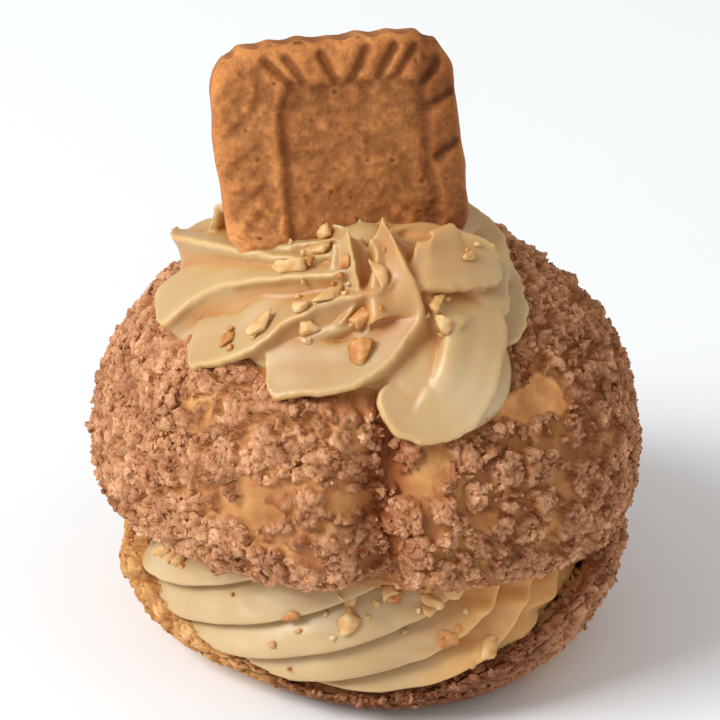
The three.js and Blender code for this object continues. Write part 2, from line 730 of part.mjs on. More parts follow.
// Rounded rectangle about a centre, as points along its edge
function plateOutline(width, height, corner, x, y, steps) {
  const straight = { x: width / 2 - corner, y: height / 2 - corner };
  const edge = new THREE.Path();
  edge.moveTo(x + straight.x, y - height / 2);
  edge.absarc(x + straight.x, y - straight.y, corner, -Math.PI / 2, 0);
  edge.absarc(x + straight.x, y + straight.y, corner, 0, Math.PI / 2);
  edge.absarc(x - straight.x, y + straight.y, corner, Math.PI / 2, Math.PI);
  edge.absarc(x - straight.x, y - straight.y, corner, Math.PI, 1.5 * Math.PI);
  edge.closePath();
  return edge.getSpacedPoints(steps).slice(0, -1);
}

function plate(points, thickness, bevel) {
  const settings = {
    depth: thickness - 2 * bevel,
    bevelEnabled: bevel > 0,
    bevelThickness: bevel,
    bevelSize: bevel,
    bevelOffset: -bevel,
    bevelSegments: 1,
  };
  const geometry = new THREE.ExtrudeGeometry(new THREE.Shape(points), settings);
  geometry.translate(0, 0, bevel - thickness / 2);
  return geometry.rotateX(Math.PI / 2);
}

function biscuitSolid() {
  const edge = plateOutline(BISCUIT_WIDTH, BISCUIT_HEIGHT, BISCUIT_CORNER, 0, 0, BISCUIT_STEPS);
  let body = solid(plate(edge, BISCUIT_THICKNESS, BISCUIT_BEVEL));
  const panelEdge = plateOutline(PANEL.width, PANEL.height, PANEL.corner, PANEL.x, PANEL.y, PANEL_STEPS);
  const panel = plate(panelEdge, 2 * PANEL.depth, 0);
  panel.translate(0, -BISCUIT_THICKNESS / 2, 0);
  body = body.subtract(solid(panel));
  for (const [inner, outer] of CRIMPS) {
    const along = new THREE.Vector3(outer[0] - inner[0], 0, outer[1] - inner[1]);
    const groove = new THREE.CylinderGeometry(CRIMP_WIDTH / 2, CRIMP_WIDTH / 2, along.length(), 6, 1);
    groove.scale((2 * CRIMP_DEPTH) / CRIMP_WIDTH, 1, 1);
    groove.rotateZ(Math.PI / 2);
    const upright = new THREE.Vector3(1, 0, 0);
    groove.applyQuaternion(new THREE.Quaternion().setFromUnitVectors(upright, along.normalize()));
    groove.translate((inner[0] + outer[0]) / 2, -BISCUIT_THICKNESS / 2, (inner[1] + outer[1]) / 2);
    body = body.subtract(solid(groove));
  }
  return body;
}

// Room for the biscuit in the rosette
function slotGeometry() {
  const grow = 4 * CLEARANCE;
  const height = BISCUIT_HEIGHT + grow;
  return new THREE.BoxGeometry(BISCUIT_WIDTH + grow, BISCUIT_THICKNESS + grow, height);
}

// Assembly

const bun = new THREE.Group();
bun.add(node('bun_base', baseSolid(), 0xb9834f, 0.85));
bun.add(node('cream_filling', filledWithNuts(), 0xe6cd9f, 0.5));

const top = new THREE.Group();
top.position.set(LID_CENTRE_X, 0, LID_CENTRE_Z);
top.rotation.x = -rad(LID_TILT);
top.updateMatrix();
bun.add(top);

const stand = new THREE.Group();
stand.position.copy(BISCUIT_MIDDLE);
stand.rotation.set(-rad(BISCUIT_LEAN_BACK), -rad(BISCUIT_LEAN_LEFT), rad(BISCUIT_TURN), 'YXZ');
stand.updateMatrix();
bun.add(stand);

const toLid = top.matrix.clone().invert().multiply(stand.matrix);
const slot = solid(slotGeometry().applyMatrix4(toLid));
top.add(node('bun_lid', lidSolid(), 0xb47d58, 0.9));
top.add(node('cream_rosette', rosetteSolid(slot), 0xe6cd9f, 0.5));
stand.add(node('biscuit', biscuitSolid(), 0xa8703c, 0.8));

export default bun;
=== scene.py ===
# %% [markdown]
# # A filled choux bun
# The bun comes as five plain solids: the base, the piped filling, the crackled lid, the rosette
# and the biscuit. This lesson loads them as a fixed frame and builds a finer piece over each.
# Reading the frame first means that every piece goes straight to its real place, with nothing
# to line up afterwards.

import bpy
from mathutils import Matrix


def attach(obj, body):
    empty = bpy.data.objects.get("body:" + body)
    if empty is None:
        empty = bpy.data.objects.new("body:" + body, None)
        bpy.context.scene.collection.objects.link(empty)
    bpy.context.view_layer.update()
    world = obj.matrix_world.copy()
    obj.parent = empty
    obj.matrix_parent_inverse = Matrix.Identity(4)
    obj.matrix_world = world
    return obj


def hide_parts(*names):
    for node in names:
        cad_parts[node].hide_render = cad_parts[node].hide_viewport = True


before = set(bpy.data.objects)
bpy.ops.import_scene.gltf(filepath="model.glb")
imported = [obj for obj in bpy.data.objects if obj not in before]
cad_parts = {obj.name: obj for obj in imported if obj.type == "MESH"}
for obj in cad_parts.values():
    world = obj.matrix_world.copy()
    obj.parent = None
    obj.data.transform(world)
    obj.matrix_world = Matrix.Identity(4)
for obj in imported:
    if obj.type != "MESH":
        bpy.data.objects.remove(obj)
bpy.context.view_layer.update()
print("solids:", sorted(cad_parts))

# %% [markdown]
# ## Tools and units
# Pastry is easiest to think of in millimetres, and Blender's frame is in metres, so shapes are
# worked out in millimetres and scaled once when a piece is finished. Arrays do the sums, because
# a crust has far too many points to move one at a time.

# %% Libraries and units
import itertools
import math

import bmesh
import bpy
import numpy as np
from mathutils import Matrix, Quaternion, Vector
from mathutils.bvhtree import BVHTree

MM = 0.001
print("one millimetre is", MM, "of Blender's units")

# %% [markdown]
# ## The camera
# The bun is seen from the front and a little above, with the camera turned slightly about its own
# axis. A camera can be aimed with a constraint, but a matrix of its own three directions keeps the
# roll exact, and the same directions later give the line of sight through any pixel.

# %% Camera at the photograph's angle
IMAGE_SIDE = 720
SENSOR = 36
NEAREST = 0.01
CAMERA_ELEVATION = math.radians(28)
CAMERA_ROLL = math.radians(3.5)
CAMERA_DISTANCE = 420
CAMERA_TARGET = Vector((-2.8, 0, 36))
PIXELS_PER_MM = 7.85

camera_back = Vector((0, -math.cos(CAMERA_ELEVATION), math.sin(CAMERA_ELEVATION)))
level_right = Vector((1, 0, 0))
level_up = camera_back.cross(level_right)
camera_right = level_right * math.cos(CAMERA_ROLL) + level_up * math.sin(CAMERA_ROLL)
camera_up = level_up * math.cos(CAMERA_ROLL) - level_right * math.sin(CAMERA_ROLL)
camera_eye = CAMERA_TARGET + camera_back * CAMERA_DISTANCE

camera_data = bpy.data.cameras.new("camera")
camera_data.sensor_width = SENSOR
camera_data.lens = SENSOR * PIXELS_PER_MM * CAMERA_DISTANCE / IMAGE_SIDE
camera_data.clip_start = NEAREST
camera = bpy.data.objects.new("camera", camera_data)
bpy.context.scene.collection.objects.link(camera)
turned = Matrix((camera_right, camera_up, camera_back)).transposed().to_4x4()
camera.matrix_world = Matrix.Translation(camera_eye * MM) @ turned
bpy.context.scene.camera = camera
print("lens:", round(camera_data.lens, 1), "mm")

# %% [markdown]
# ## Uneven things
# Baked and piped food has no straight lines. Three rules give all the unevenness here: a scatter
# that turns a cell of space into a share, a smooth waviness between cells, and cobbles, which tell
# how far a point is from the two nearest crumbs. They are worked out from positions alone, so they
# give the same bun each time.

# %% Scatter, waviness and cobbles
CORNERS = np.array(list(itertools.product((0, 1), repeat=3)))
NEIGHBOURS = np.array(list(itertools.product((-1, 0, 1), repeat=3)))
SCATTER_WEIGHTS = np.array((127.1, 311.7, 74.7))
SCATTER_SEED_STEP = 53.3
SCATTER_GAIN = 43758.5453
FAR = 9.0


def scatter(cells, seed):
    """A share between 0 and 1 for each cell of space."""
    wave = np.sin(cells @ SCATTER_WEIGHTS + seed * SCATTER_SEED_STEP) * SCATTER_GAIN
    return wave - np.floor(wave)


def ease(values, low, high):
    """0 below low, 1 above high, and a smooth rise between them."""
    share = np.clip((values - low) / (high - low), 0, 1)
    return share * share * (3 - 2 * share)


def blend(low, high, share):
    return low + (high - low) * share


def waviness(points, size, seed):
    """Smooth unevenness between -1 and 1, with features of the given size."""
    scaled = points / size
    cell = np.floor(scaled)
    part = ease(scaled - cell, 0, 1)
    total = np.zeros(len(points))
    for corner in CORNERS:
        weight = np.prod(np.where(corner, part, 1 - part), axis=1)
        total += weight * scatter(cell + corner, seed)
    return total * 2 - 1


def cobbles(points, size, seed):
    """Distances to the nearest two crumb middles, in crumbs, and the nearest crumb's own share."""
    scaled = points / size
    cell = np.floor(scaled)
    first = np.full(len(points), FAR)
    second = np.full(len(points), FAR)
    tone = np.zeros(len(points))
    for step in NEIGHBOURS:
        there = cell + step
        middle = there + np.stack([scatter(there, seed + k) for k in range(3)], axis=1)
        distance = np.linalg.norm(middle - scaled, axis=1)
        closer = distance < first
        second = np.where(closer, first, np.minimum(second, distance))
        tone = np.where(closer, scatter(there, seed + 3), tone)
        first = np.where(closer, distance, first)
    return first, second, tone


def jostled(points, amount, size, seed):
    """Points moved about a little, so that crumbs get ragged edges."""
    moves = [waviness(points, size, seed + k) for k in range(3)]
    return points + amount * np.stack(moves, axis=1)


print("rules for", len(NEIGHBOURS), "neighbouring cells")

# %% [markdown]
# ## From a bmesh to a finished piece
# Every piece takes the same last steps: faces turned outwards, millimetres made metres, shading
# and a finish, and then it rides on the bun's one body. Doing this in one place keeps each recipe
# below short. Points are moved with arrays in both directions, and a number that a finish needs is
# painted on the points.

# %% Finishing a piece
def places_of(bm):
    return np.array([vert.co for vert in bm.verts])


def move_to(bm, places):
    for vert, place in zip(bm.verts, places):
        vert.co = place


def finished(bm, name, material, replaced=(), smooth=True):
    """Makes an object of a bmesh in millimetres and lets it ride on the bun."""
    bmesh.ops.recalc_face_normals(bm, faces=bm.faces)
    bmesh.ops.scale(bm, vec=(MM, MM, MM), verts=bm.verts)
    mesh = bpy.data.meshes.new(name)
    bm.to_mesh(mesh)
    bm.free()
    return placed(mesh, name, material, replaced, smooth)


def placed(mesh, name, material, replaced=(), smooth=True):
    """Makes an object of a mesh in metres and lets it ride on the bun."""
    mesh.polygons.foreach_set("use_smooth", np.full(len(mesh.polygons), smooth))
    mesh.materials.clear()
    mesh.materials.append(material)
    piece = bpy.data.objects.new(name, mesh)
    bpy.context.scene.collection.objects.link(piece)
    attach(piece, "root")
    if replaced:
        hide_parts(*replaced)
    triangles = sum(len(face.vertices) - 2 for face in mesh.polygons)
    print(name, "has", triangles, "triangles")
    return piece


def paint(mesh, name, values):
    """Keeps one number for each point, which a material can read by its name."""
    layer = mesh.attributes.new(name, "FLOAT", "POINT")
    layer.data.foreach_set("value", np.asarray(values, np.float32))


print("a finished piece is scaled by", MM)

# %% [markdown]
# ## Mixing finishes
# A finish is a small net of nodes in front of one Principled shader. Most of them need the same few
# nodes: a noise read on the piece's own Object coordinates, a painted number, a ramp of colours,
# a mix of two colours, and a bump. These helpers keep each finish down to what is special about it.

# %% Helpers for finishes
PLAIN = (1.0, 1.0, 1.0)


def new_finish(name):
    material = bpy.data.materials.new(name)
    material.use_nodes = True
    return material, material.node_tree, material.node_tree.nodes["Principled BSDF"]


def grain(tree, size, detail=3.0, seed=0.0):
    """Noise whose features have the given size in millimetres."""
    where = tree.nodes.new("ShaderNodeTexCoord")
    noise = tree.nodes.new("ShaderNodeTexNoise")
    noise.noise_dimensions = "4D"
    noise.inputs["W"].default_value = seed
    noise.inputs["Scale"].default_value = 1 / (size * MM)
    noise.inputs["Detail"].default_value = detail
    tree.links.new(where.outputs["Object"], noise.inputs["Vector"])
    return noise.outputs["Fac"]


def painted(tree, name):
    node = tree.nodes.new("ShaderNodeAttribute")
    node.attribute_name = name
    return node.outputs["Fac"]


def ramp(tree, share, *stops):
    """Colours along a share: each stop is a place and a colour."""
    node = tree.nodes.new("ShaderNodeValToRGB")
    points = node.color_ramp.elements
    while len(points) < len(stops):
        points.new(0.5)
    for point, (place, colour) in zip(points, stops):
        point.position = place
        point.color = (*colour, 1)
    tree.links.new(share, node.inputs["Fac"])
    return node.outputs["Color"]


def mix(tree, share, below, above, kind="MIX"):
    """The colour below, and the one above laid over it by a share."""
    node = tree.nodes.new("ShaderNodeMix")
    node.data_type = "RGBA"
    node.blend_type = kind
    if isinstance(share, float):
        node.inputs["Factor"].default_value = share
    else:
        tree.links.new(share, node.inputs["Factor"])
    tree.links.new(below, node.inputs["A"])
    tree.links.new(above, node.inputs["B"])
    return node.outputs["Result"]


def tinted(tree, colour, tint, strength=1.0):
    """A colour multiplied by a tint."""
    return mix(tree, strength, colour, tint, "MULTIPLY")


def span(tree, share, low, high):
    """Stretches a share over the span from low to high."""
    node = tree.nodes.new("ShaderNodeMapRange")
    node.inputs["To Min"].default_value = low
    node.inputs["To Max"].default_value = high
    tree.links.new(share, node.inputs["Value"])
    return node.outputs["Result"]


def bumped(tree, shader, height, depth, strength):
    """A fine relief of the given depth in millimetres."""
    node = tree.nodes.new("ShaderNodeBump")
    node.inputs["Distance"].default_value = depth * MM
    node.inputs["Strength"].default_value = strength
    tree.links.new(height, node.inputs["Height"])
    tree.links.new(node.outputs["Normal"], shader.inputs["Normal"])


print("finishes are mixed on Object coordinates")

# %% [markdown]
# ## The lid's dome
# The lid is a dome, tipped back on the cream, with a flat cut below and a valley down its front.
# These are the same sizes as in the solid, so the fine piece lies where the plain one does.
# A direction from the lid's middle gives the radius there, which lets one rule serve the dome, the
# rosette on it and the crumbs.

# %% Form of the lid
LID_RADIUS = 33.8
LID_HEIGHT = 28.6
LID_DEPTH = 26
LID_CENTRE = Vector((-1.4, 0, 25.8))
LID_TILT = math.radians(-8)
LID_CUT_LATITUDE = -15
SWELL = 0.7
SWELL_SIZE = 19
VALLEY_AZIMUTH = -86
VALLEY_HALF_WIDTH = 6
VALLEY_LOW = -18
VALLEY_HIGH = 22
VALLEY_FADE = 6
VALLEY_DEPTH = 4.2

HEART_LATITUDE = 60
HEART_AZIMUTH = -95

lid_place = Matrix.Translation(LID_CENTRE) @ Matrix.Rotation(LID_TILT, 4, "X")


def dome_radius(ways):
    """Distance from the lid's middle to its plain dome along ways of length 1."""
    height = np.where(ways[:, 2] > 0, LID_HEIGHT, LID_DEPTH)
    flat = np.hypot(ways[:, 0], ways[:, 1]) / LID_RADIUS
    return 1 / np.hypot(flat, ways[:, 2] / height)


def unit(vectors):
    return vectors / np.linalg.norm(vectors, axis=-1, keepdims=True)


def way_at(latitude, azimuth):
    level = np.cos(np.radians(latitude))
    north = level * np.sin(np.radians(azimuth))
    return np.stack([level * np.cos(np.radians(azimuth)), north, np.sin(np.radians(latitude))], axis=-1)


def turn_between(azimuth, other):
    return (azimuth - other + 180) % 360 - 180


def latitude_azimuth(ways):
    latitude = np.degrees(np.arcsin(np.clip(ways[:, 2], -1, 1)))
    return latitude, np.degrees(np.arctan2(ways[:, 1], ways[:, 0]))


def away_from(middle, ways):
    """Degrees between one way and many."""
    return np.degrees(np.arccos(np.clip(ways @ middle, -1, 1)))


def lid_form(ways):
    """Broad form of the lid: dome, swell and valley, without crumbs."""
    latitude, azimuth = latitude_azimuth(ways)
    across = turn_between(azimuth, VALLEY_AZIMUTH) / VALLEY_HALF_WIDTH
    foot = ease(latitude, VALLEY_LOW - VALLEY_FADE, VALLEY_LOW + VALLEY_FADE)
    head = 1 - ease(latitude, VALLEY_HIGH - VALLEY_FADE, VALLEY_HIGH + VALLEY_FADE)
    valley = np.exp(-across * across) * foot * head
    swell = SWELL * waviness(ways * LID_RADIUS, SWELL_SIZE, 1)
    return dome_radius(ways) + swell - VALLEY_DEPTH * valley


def placed_points(points, place):
    """Points moved from a piece's own frame to the bun's."""
    turn = np.array(place.to_3x3())
    return points @ turn.T + np.array(place.translation)


HEART = way_at(HEART_LATITUDE, HEART_AZIMUTH)
LID_EDGE = way_at(LID_CUT_LATITUDE, 0.0)[None]
LID_CUT_HEIGHT = LID_EDGE[0, 2] * dome_radius(LID_EDGE)[0]
print("lid:", 2 * LID_RADIUS, "mm across")

# %% [markdown]
# ## The cream's finish
# Piped cream is satin: light goes a little way in and comes out warmer, and subsurface scattering
# gives some of that. Two painted numbers add painted light and shade: the first paints shade in the
# folds, which turns them orange, and a highlight on the lips, which turns them pale; the second paints
# a warm shade on some parts and a pale sheen on others. The noise is broad and faint, because whipped
# cream is smooth.

# %% Cream finish
CREAM_FOLD_SHADE_LIP_LIGHT = (
    (0.15, (1.14, 1.13, 1.0)), (0.4, (1.02, 1.03, 1.02)), (0.52, (1.0, 0.97, 0.92)),
    (0.6, (1.0, 0.83, 0.59)), (0.78, (0.95, 0.62, 0.33)),
)


def cream_finish(name, dark, middle, light, sheen_tint, warm_shade_tint):
    material, tree, shader = new_finish(name)
    plain = ramp(tree, grain(tree, 9, 3.0, 5.0), (0.3, dark), (0.5, middle), (0.7, light))
    # Painted shade turns the folds orange and a painted highlight makes the lips pale.
    colour = tinted(tree, plain, ramp(tree, painted(tree, "fold"), *CREAM_FOLD_SHADE_LIP_LIGHT))
    # The second number paints a warm shade where it is high and a pale sheen where it is low.
    sheen_and_warm_shade = ramp(tree, painted(tree, "sheen_and_warm_shade"), (0.0, sheen_tint), (0.5, PLAIN), (1.0, warm_shade_tint))
    tree.links.new(tinted(tree, colour, sheen_and_warm_shade), shader.inputs["Base Color"])
    shader.inputs["Roughness"].default_value = 0.45
    shader.inputs["Specular IOR Level"].default_value = 0.75
    shader.inputs["Subsurface Weight"].default_value = 0.4
    shader.inputs["Subsurface Radius"].default_value = (1.0, 0.55, 0.25)
    shader.inputs["Subsurface Scale"].default_value = 2 * MM
    bumped(tree, shader, grain(tree, 1.4, 4.0, 6.0), 0.12, 0.35)
    return material


ROSETTE_CREAM = cream_finish(
    "rosette_cream", dark=(0.495, 0.29, 0.117), middle=(0.525, 0.334, 0.149), light=(0.55, 0.376, 0.184),
    sheen_tint=(1.16, 1.24, 1.45), warm_shade_tint=(1.04, 0.9, 0.78))
FILLING_CREAM = cream_finish(
    "filling_cream", dark=(0.46, 0.29, 0.138), middle=(0.49, 0.33, 0.172), light=(0.52, 0.37, 0.21),
    sheen_tint=(1.04, 1.12, 1.26), warm_shade_tint=(1.4, 1.12, 0.74))
print("finishes:", ROSETTE_CREAM.name, FILLING_CREAM.name)

# %% [markdown]
# ## Folds and lips
# The finish has to know which points of a skin lie in a fold. A pointiness input could tell it, but
# that depends on how finely the mesh is cut. Smoothing a copy is surer: smoothing fills folds out
# and wears lips down, so how far a point moves along its normal tells a fold from a lip, and the
# number of rounds sets how broad a fold has to be.

# %% Folds painted on a skin
def smoothed(places, edges, rounds):
    """Places after rounds in which each point moves half way to the middle of its neighbours."""
    here, there = edges.T
    neighbours = np.bincount(edges.ravel(), minlength=len(places))
    for _ in range(rounds):
        middles = []
        for k in range(3):
            total = np.bincount(here, places[there, k], len(places))
            total += np.bincount(there, places[here, k], len(places))
            middles.append(total / neighbours)
        places = (places + np.stack(middles, axis=1)) / 2
    return places


def values_of(items, name, width, kind=float):
    """One of Blender's arrays as rows of numbers."""
    values = np.empty(width * len(items), kind)
    items.foreach_get(name, values)
    return values.reshape(-1, width)


def paint_folds(mesh, *scales):
    """Paints 0.5 on a flat skin, more in a fold and less on a lip.

    Each scale is a number of smoothing rounds and the millimetres that a full fold fills out by.
    """
    places = values_of(mesh.vertices, "co", 3)
    normals = values_of(mesh.vertices, "normal", 3)
    edges = values_of(mesh.edges, "vertices", 2, int)
    fold = np.full(len(places), 0.5)
    for rounds, full in scales:
        filled = np.sum((smoothed(places, edges, rounds) - places) * normals, axis=1) / (full * MM)
        fold += np.clip(filled, -1, 1) / (2 * len(scales))
    paint(mesh, "fold", fold)


print("folds are found by smoothing")

# %% [markdown]
# ## The rosette
# A star nozzle leaves blades of cream that wind into a heart like the steps of a round stair. Each
# blade is a pale tread that ends in a raised lip. Near its tip the lip hangs free over the crust,
# and further in a hollow riser runs from the lip down to the next tread. One petal is folded the
# other way. A low mound and a few round puffs fill the broad lobe in front and the hollows between
# the blades. The places are listed one by one, as one would describe a rosette.

# %% Sizes of the rosette
MOUND_HEIGHT = 4
MOUND_REACH = 29
MOUND_ROOT = 2
PEAK_HEIGHT = 4.2
PEAK_REACH = 9
# Each puff's angle and distance from the heart and its reach in degrees, its height in millimetres,
# and how far it is tilted and scooped
PUFFS = [
    dict(angle=-52, distance=29, reach=15.5, height=3.4, tilt=0.22, scoop=0.1),
    dict(angle=-64, distance=24.5, reach=9.5, height=2.8, tilt=0, scoop=0),
    dict(angle=22, distance=14, reach=10, height=6.4, tilt=0, scoop=0),
]

# Each blade's lip runs from tip to heart: angle round the heart and distance from it in degrees, and
# height over the dome. An angle of 0 is to the right and -90 to the front. The blade has a width at
# its tip and further in, a dip across its tread, a blunt share and a ruffle. The riser grows between
# two shares of the lip, and reaches out and drops by millimetres. A free lip has none, and a stepped
# one has it all along.
FREE = (2, 3)
STEPPED = (-2, -1)
BLADES = [
    # Far left
    dict(lip=[(-171, 47, 3.2), (-173, 38, 3.7), (-169, 28, 5), (-155, 18, 6.2), (-125, 11.2, 7.2),
              (-105, 8.5, 8), (-105, 5, 7.6)],
         tip=8, width=7, dip=0.12, blunt=0.04, ruffle=0.25, riser=STEPPED, reach=2.6, drop=3.0),
    # Left
    dict(lip=[(-152, 44, 2.7), (-139, 32, 3.5), (-131, 22, 4.8), (-123, 18.7, 5.6), (-104, 14.7, 6.6),
              (-92, 13.6, 6.9), (-75, 13, 7.2), (-60, 11.5, 7.8)],
         tip=7, width=6, dip=0.3, blunt=0.04, ruffle=0.35, riser=(0.2, 0.36), reach=2.4, drop=3.0),
    # Front left
    dict(lip=[(-122, 38, 2.6), (-112, 34.3, 2.8), (-97, 31.2, 3.1), (-81, 27.4, 3.8), (-60, 21.2, 5.5),
              (-53, 18.4, 6.5), (-51, 13.3, 8.4), (-43, 7.7, 10.6), (-38, 3.4, 12.8)],
         tip=9, width=5.5, dip=0.3, blunt=0.04, ruffle=0.25, riser=(0.25, 0.5), reach=4.2, drop=4.0),
    # Small fold before the heart
    dict(lip=[(-104, 19, 4.5), (-95, 13.6, 6.2), (-99, 9.9, 8), (-110, 6.6, 9.8), (-133, 4.4, 11.6)],
         tip=2, width=2.4, dip=0.3, blunt=0.04, ruffle=0.15, riser=STEPPED, reach=1.6, drop=3.0),
    # Broad lobe in front
    dict(lip=[(-85, 30, 1.9), (-83, 36, 2.0), (-79, 40.4, 2.2), (-71, 42.9, 2.4), (-61, 43.3, 2.7),
              (-51, 41.1, 3.2), (-41, 37.2, 3.8), (-28, 32.7, 4.4), (-18, 28.6, 4.6), (-14, 22, 4.6),
              (-10, 12, 5.5), (-5, 5, 7)],
         tip=6, width=7, dip=-0.06, blunt=0.04, ruffle=0.12, riser=FREE, reach=0, drop=0),
    # Right
    dict(lip=[(-33, 35, 1.6), (-20, 36.5, 2.6), (-9, 36.3, 3), (3, 35.3, 3.4), (9, 32.7, 4), (11, 27, 5),
              (12, 15, 6), (10, 5, 7.5)],
         tip=5, width=8, dip=0.1, blunt=0.06, ruffle=1.1, riser=FREE, reach=0, drop=0),
    # Right, further back
    dict(lip=[(8, 36, 2.5), (15, 33, 3.5), (26, 33, 4.5), (37, 31, 5.8), (50, 24, 7), (62, 14, 7.4),
              (67, 5, 7.4)],
         tip=5, width=8, dip=0.2, blunt=0.08, ruffle=0.4, riser=FREE, reach=0, drop=0),
    # Left, behind the biscuit
    dict(lip=[(160, 45, 7.2), (166, 36, 6.6), (172, 29, 6.4), (185, 20, 6.8), (205, 12, 7.4),
              (225, 5, 7.6)],
         tip=5, width=6, dip=0.3, blunt=0.06, ruffle=0.3, riser=STEPPED, reach=4.2, drop=5.0),
    # Thin upright strip at the biscuit's left edge
    dict(lip=[(160, 43, 3), (158.5, 37, 5.4), (157.5, 33, 7.8), (158, 30.3, 9.8), (161, 27, 10),
              (164, 22, 8)],
         tip=1.7, width=1.7, dip=0.2, blunt=0.04, ruffle=0.1, riser=FREE, reach=0, drop=0),
]
BACK_BLADE = dict(lip=[(10, 43, 2.7), (28, 40, 3.4), (50, 30, 4.8), (66, 17, 6.6), (67, 5, 7.4)],
                  tip=7, width=11, dip=0.3, blunt=0.1, ruffle=0.3, riser=(0.3, 0.5), reach=2.6, drop=3.0)
BACK_TURNS = (38, 76, 114)
PETAL = dict(lip=[(-7, 28, 6.6), (-19, 24, 6.9), (-29, 20.2, 7.2), (-43, 16.4, 7.4), (-54, 13, 7)],
             tip=5, width=8, dip=-0.22, blunt=0.1, ruffle=0.15, riser=FREE, reach=0, drop=0)

print("blades:", len(BLADES) + len(BACK_TURNS), "and one petal")

# %% [markdown]
# ## Curves over the dome
# A lip is a smooth curve over the dome, and every section of a blade stands on it. A curve object
# could hold it, but its points would then have to be read back from the curve's mesh. A spline
# that passes through its corners is a few lines, and it also closes the ring of a blade's section.

# %% Curves over the dome
LIP_STEPS = 400

heart_right = unit(np.cross((0, 1, 0), HEART))
heart_back = np.cross(HEART, heart_right)


def over_dome(angle, distance, height):
    """Points over the dome: angle and distance from the heart in degrees, and height above the dome."""
    angle, distance = np.radians(angle)[:, None], np.radians(distance)[:, None]
    outward = heart_right * np.cos(angle) + heart_back * np.sin(angle)
    ways = HEART * np.cos(distance) + outward * np.sin(distance)
    return ways * (dome_radius(ways) + height)[:, None]


def bend_through(a, b, c, d, part):
    """A smooth step from b to c, with a before and d after them."""
    pull = 2 * a - 5 * b + 4 * c - d
    return b + 0.5 * part * (c - a + part * (pull + part * (3 * (b - c) + d - a)))


def open_spline(corners, shares):
    """A smooth curve through corners from the first to the last."""
    before, after = 2 * corners[0] - corners[1], 2 * corners[-1] - corners[-2]
    padded = np.concatenate([[before], corners, [after]])
    along = np.clip(shares, 0, 1) * (len(corners) - 1)
    step = np.minimum(np.floor(along).astype(int), len(corners) - 2)
    return bend_through(*(padded[step + k] for k in range(4)), (along - step)[:, None])


def round_spline(corners, shares):
    """A smooth closed curve, at shares of a full turn, through corners that each row has of its own."""
    count = len(corners)
    step = np.floor(shares * count).astype(int)
    rows = np.arange(len(shares))
    part = (shares * count - step)[:, None]
    return bend_through(*(corners[(step + k) % count, rows] for k in (-1, 0, 1, 2)), part)


def lip_points(lip, shares):
    """Places on a lip at shares of its length."""
    dense = open_spline(over_dome(*np.array(lip, float).T), np.linspace(0, 1, LIP_STEPS))
    run = np.concatenate([[0], np.cumsum(np.linalg.norm(np.diff(dense, axis=0), axis=1))])
    return np.stack([np.interp(shares * run[-1], run, dense[:, k]) for k in range(3)], axis=1)


print("a lip is measured in", LIP_STEPS, "steps")

# %% [markdown]
# ## One blade
# A blade's section is a ring of nine corners: the lip, three on the tread, two at the root, and three
# on the outer side, which hang under a free lip or stand out as a hollow riser. The ring is swept
# from the tip to the heart by rolling up a grid, so a grid's row is a section and its column runs
# along the blade. Bevelled curves could do this too, but their section can't change on the way.

# %% One blade
SEAM = 0.0005
RING_POINTS = 54
STATIONS = 84
LIP = 1.4
UNDERCUT = 1.6
BLADE_ROOT = 1.5
BLADE_ROOM = 0.7
BLADE_THINNEST = 1.7
BLADE_CROWDING = 1.2
BLUNT_MIDDLE = 0.4
BLUNT_WIDTH = 0.95
WIDENING = 0.35
FINE_RUFFLE = 0.2
LOWEST_CORNER = 0.7
TREAD_CORNERS = (0.2, 0.5, 1)
AHEAD = 0.01

# Corners on the outer side: how far out on a riser as a share of its reach, and how far below the lip,
# in lips where it hangs free and in drops where a riser stands below it.
RISER_FOOT = (1.0, 2.2, 1.05)
RISER_HOLLOW = (0.5, 1.5, 0.82)
UNDER_LIP = (0.15, 1.0, 0.45)
HOLLOW_UNDERCUT = 0.7
LIP_OVERHANG = 0.1


def open_edges(bm):
    return [edge for edge in bm.edges if edge.is_boundary]


def rolled(columns, rows, shape):
    """Rolls a flat grid into a closed tube: shape gives the place for each share round and along."""
    bm = bmesh.new()
    bmesh.ops.create_grid(bm, x_segments=columns, y_segments=rows, size=0.5)
    flat = places_of(bm) + 0.5
    move_to(bm, shape(flat[:, 0], flat[:, 1]))
    bmesh.ops.remove_doubles(bm, verts=bm.verts, dist=SEAM)
    bmesh.ops.holes_fill(bm, edges=open_edges(bm), sides=0)
    return bm


def ruffled(lip, amount):
    """How far a lip waves in and out, with a fine ruffle on top."""
    broad = waviness(lip, 3.2, 201) + 0.5 * waviness(lip, 1.3, 202)
    return amount * broad + FINE_RUFFLE * waviness(lip, 0.9, 203)


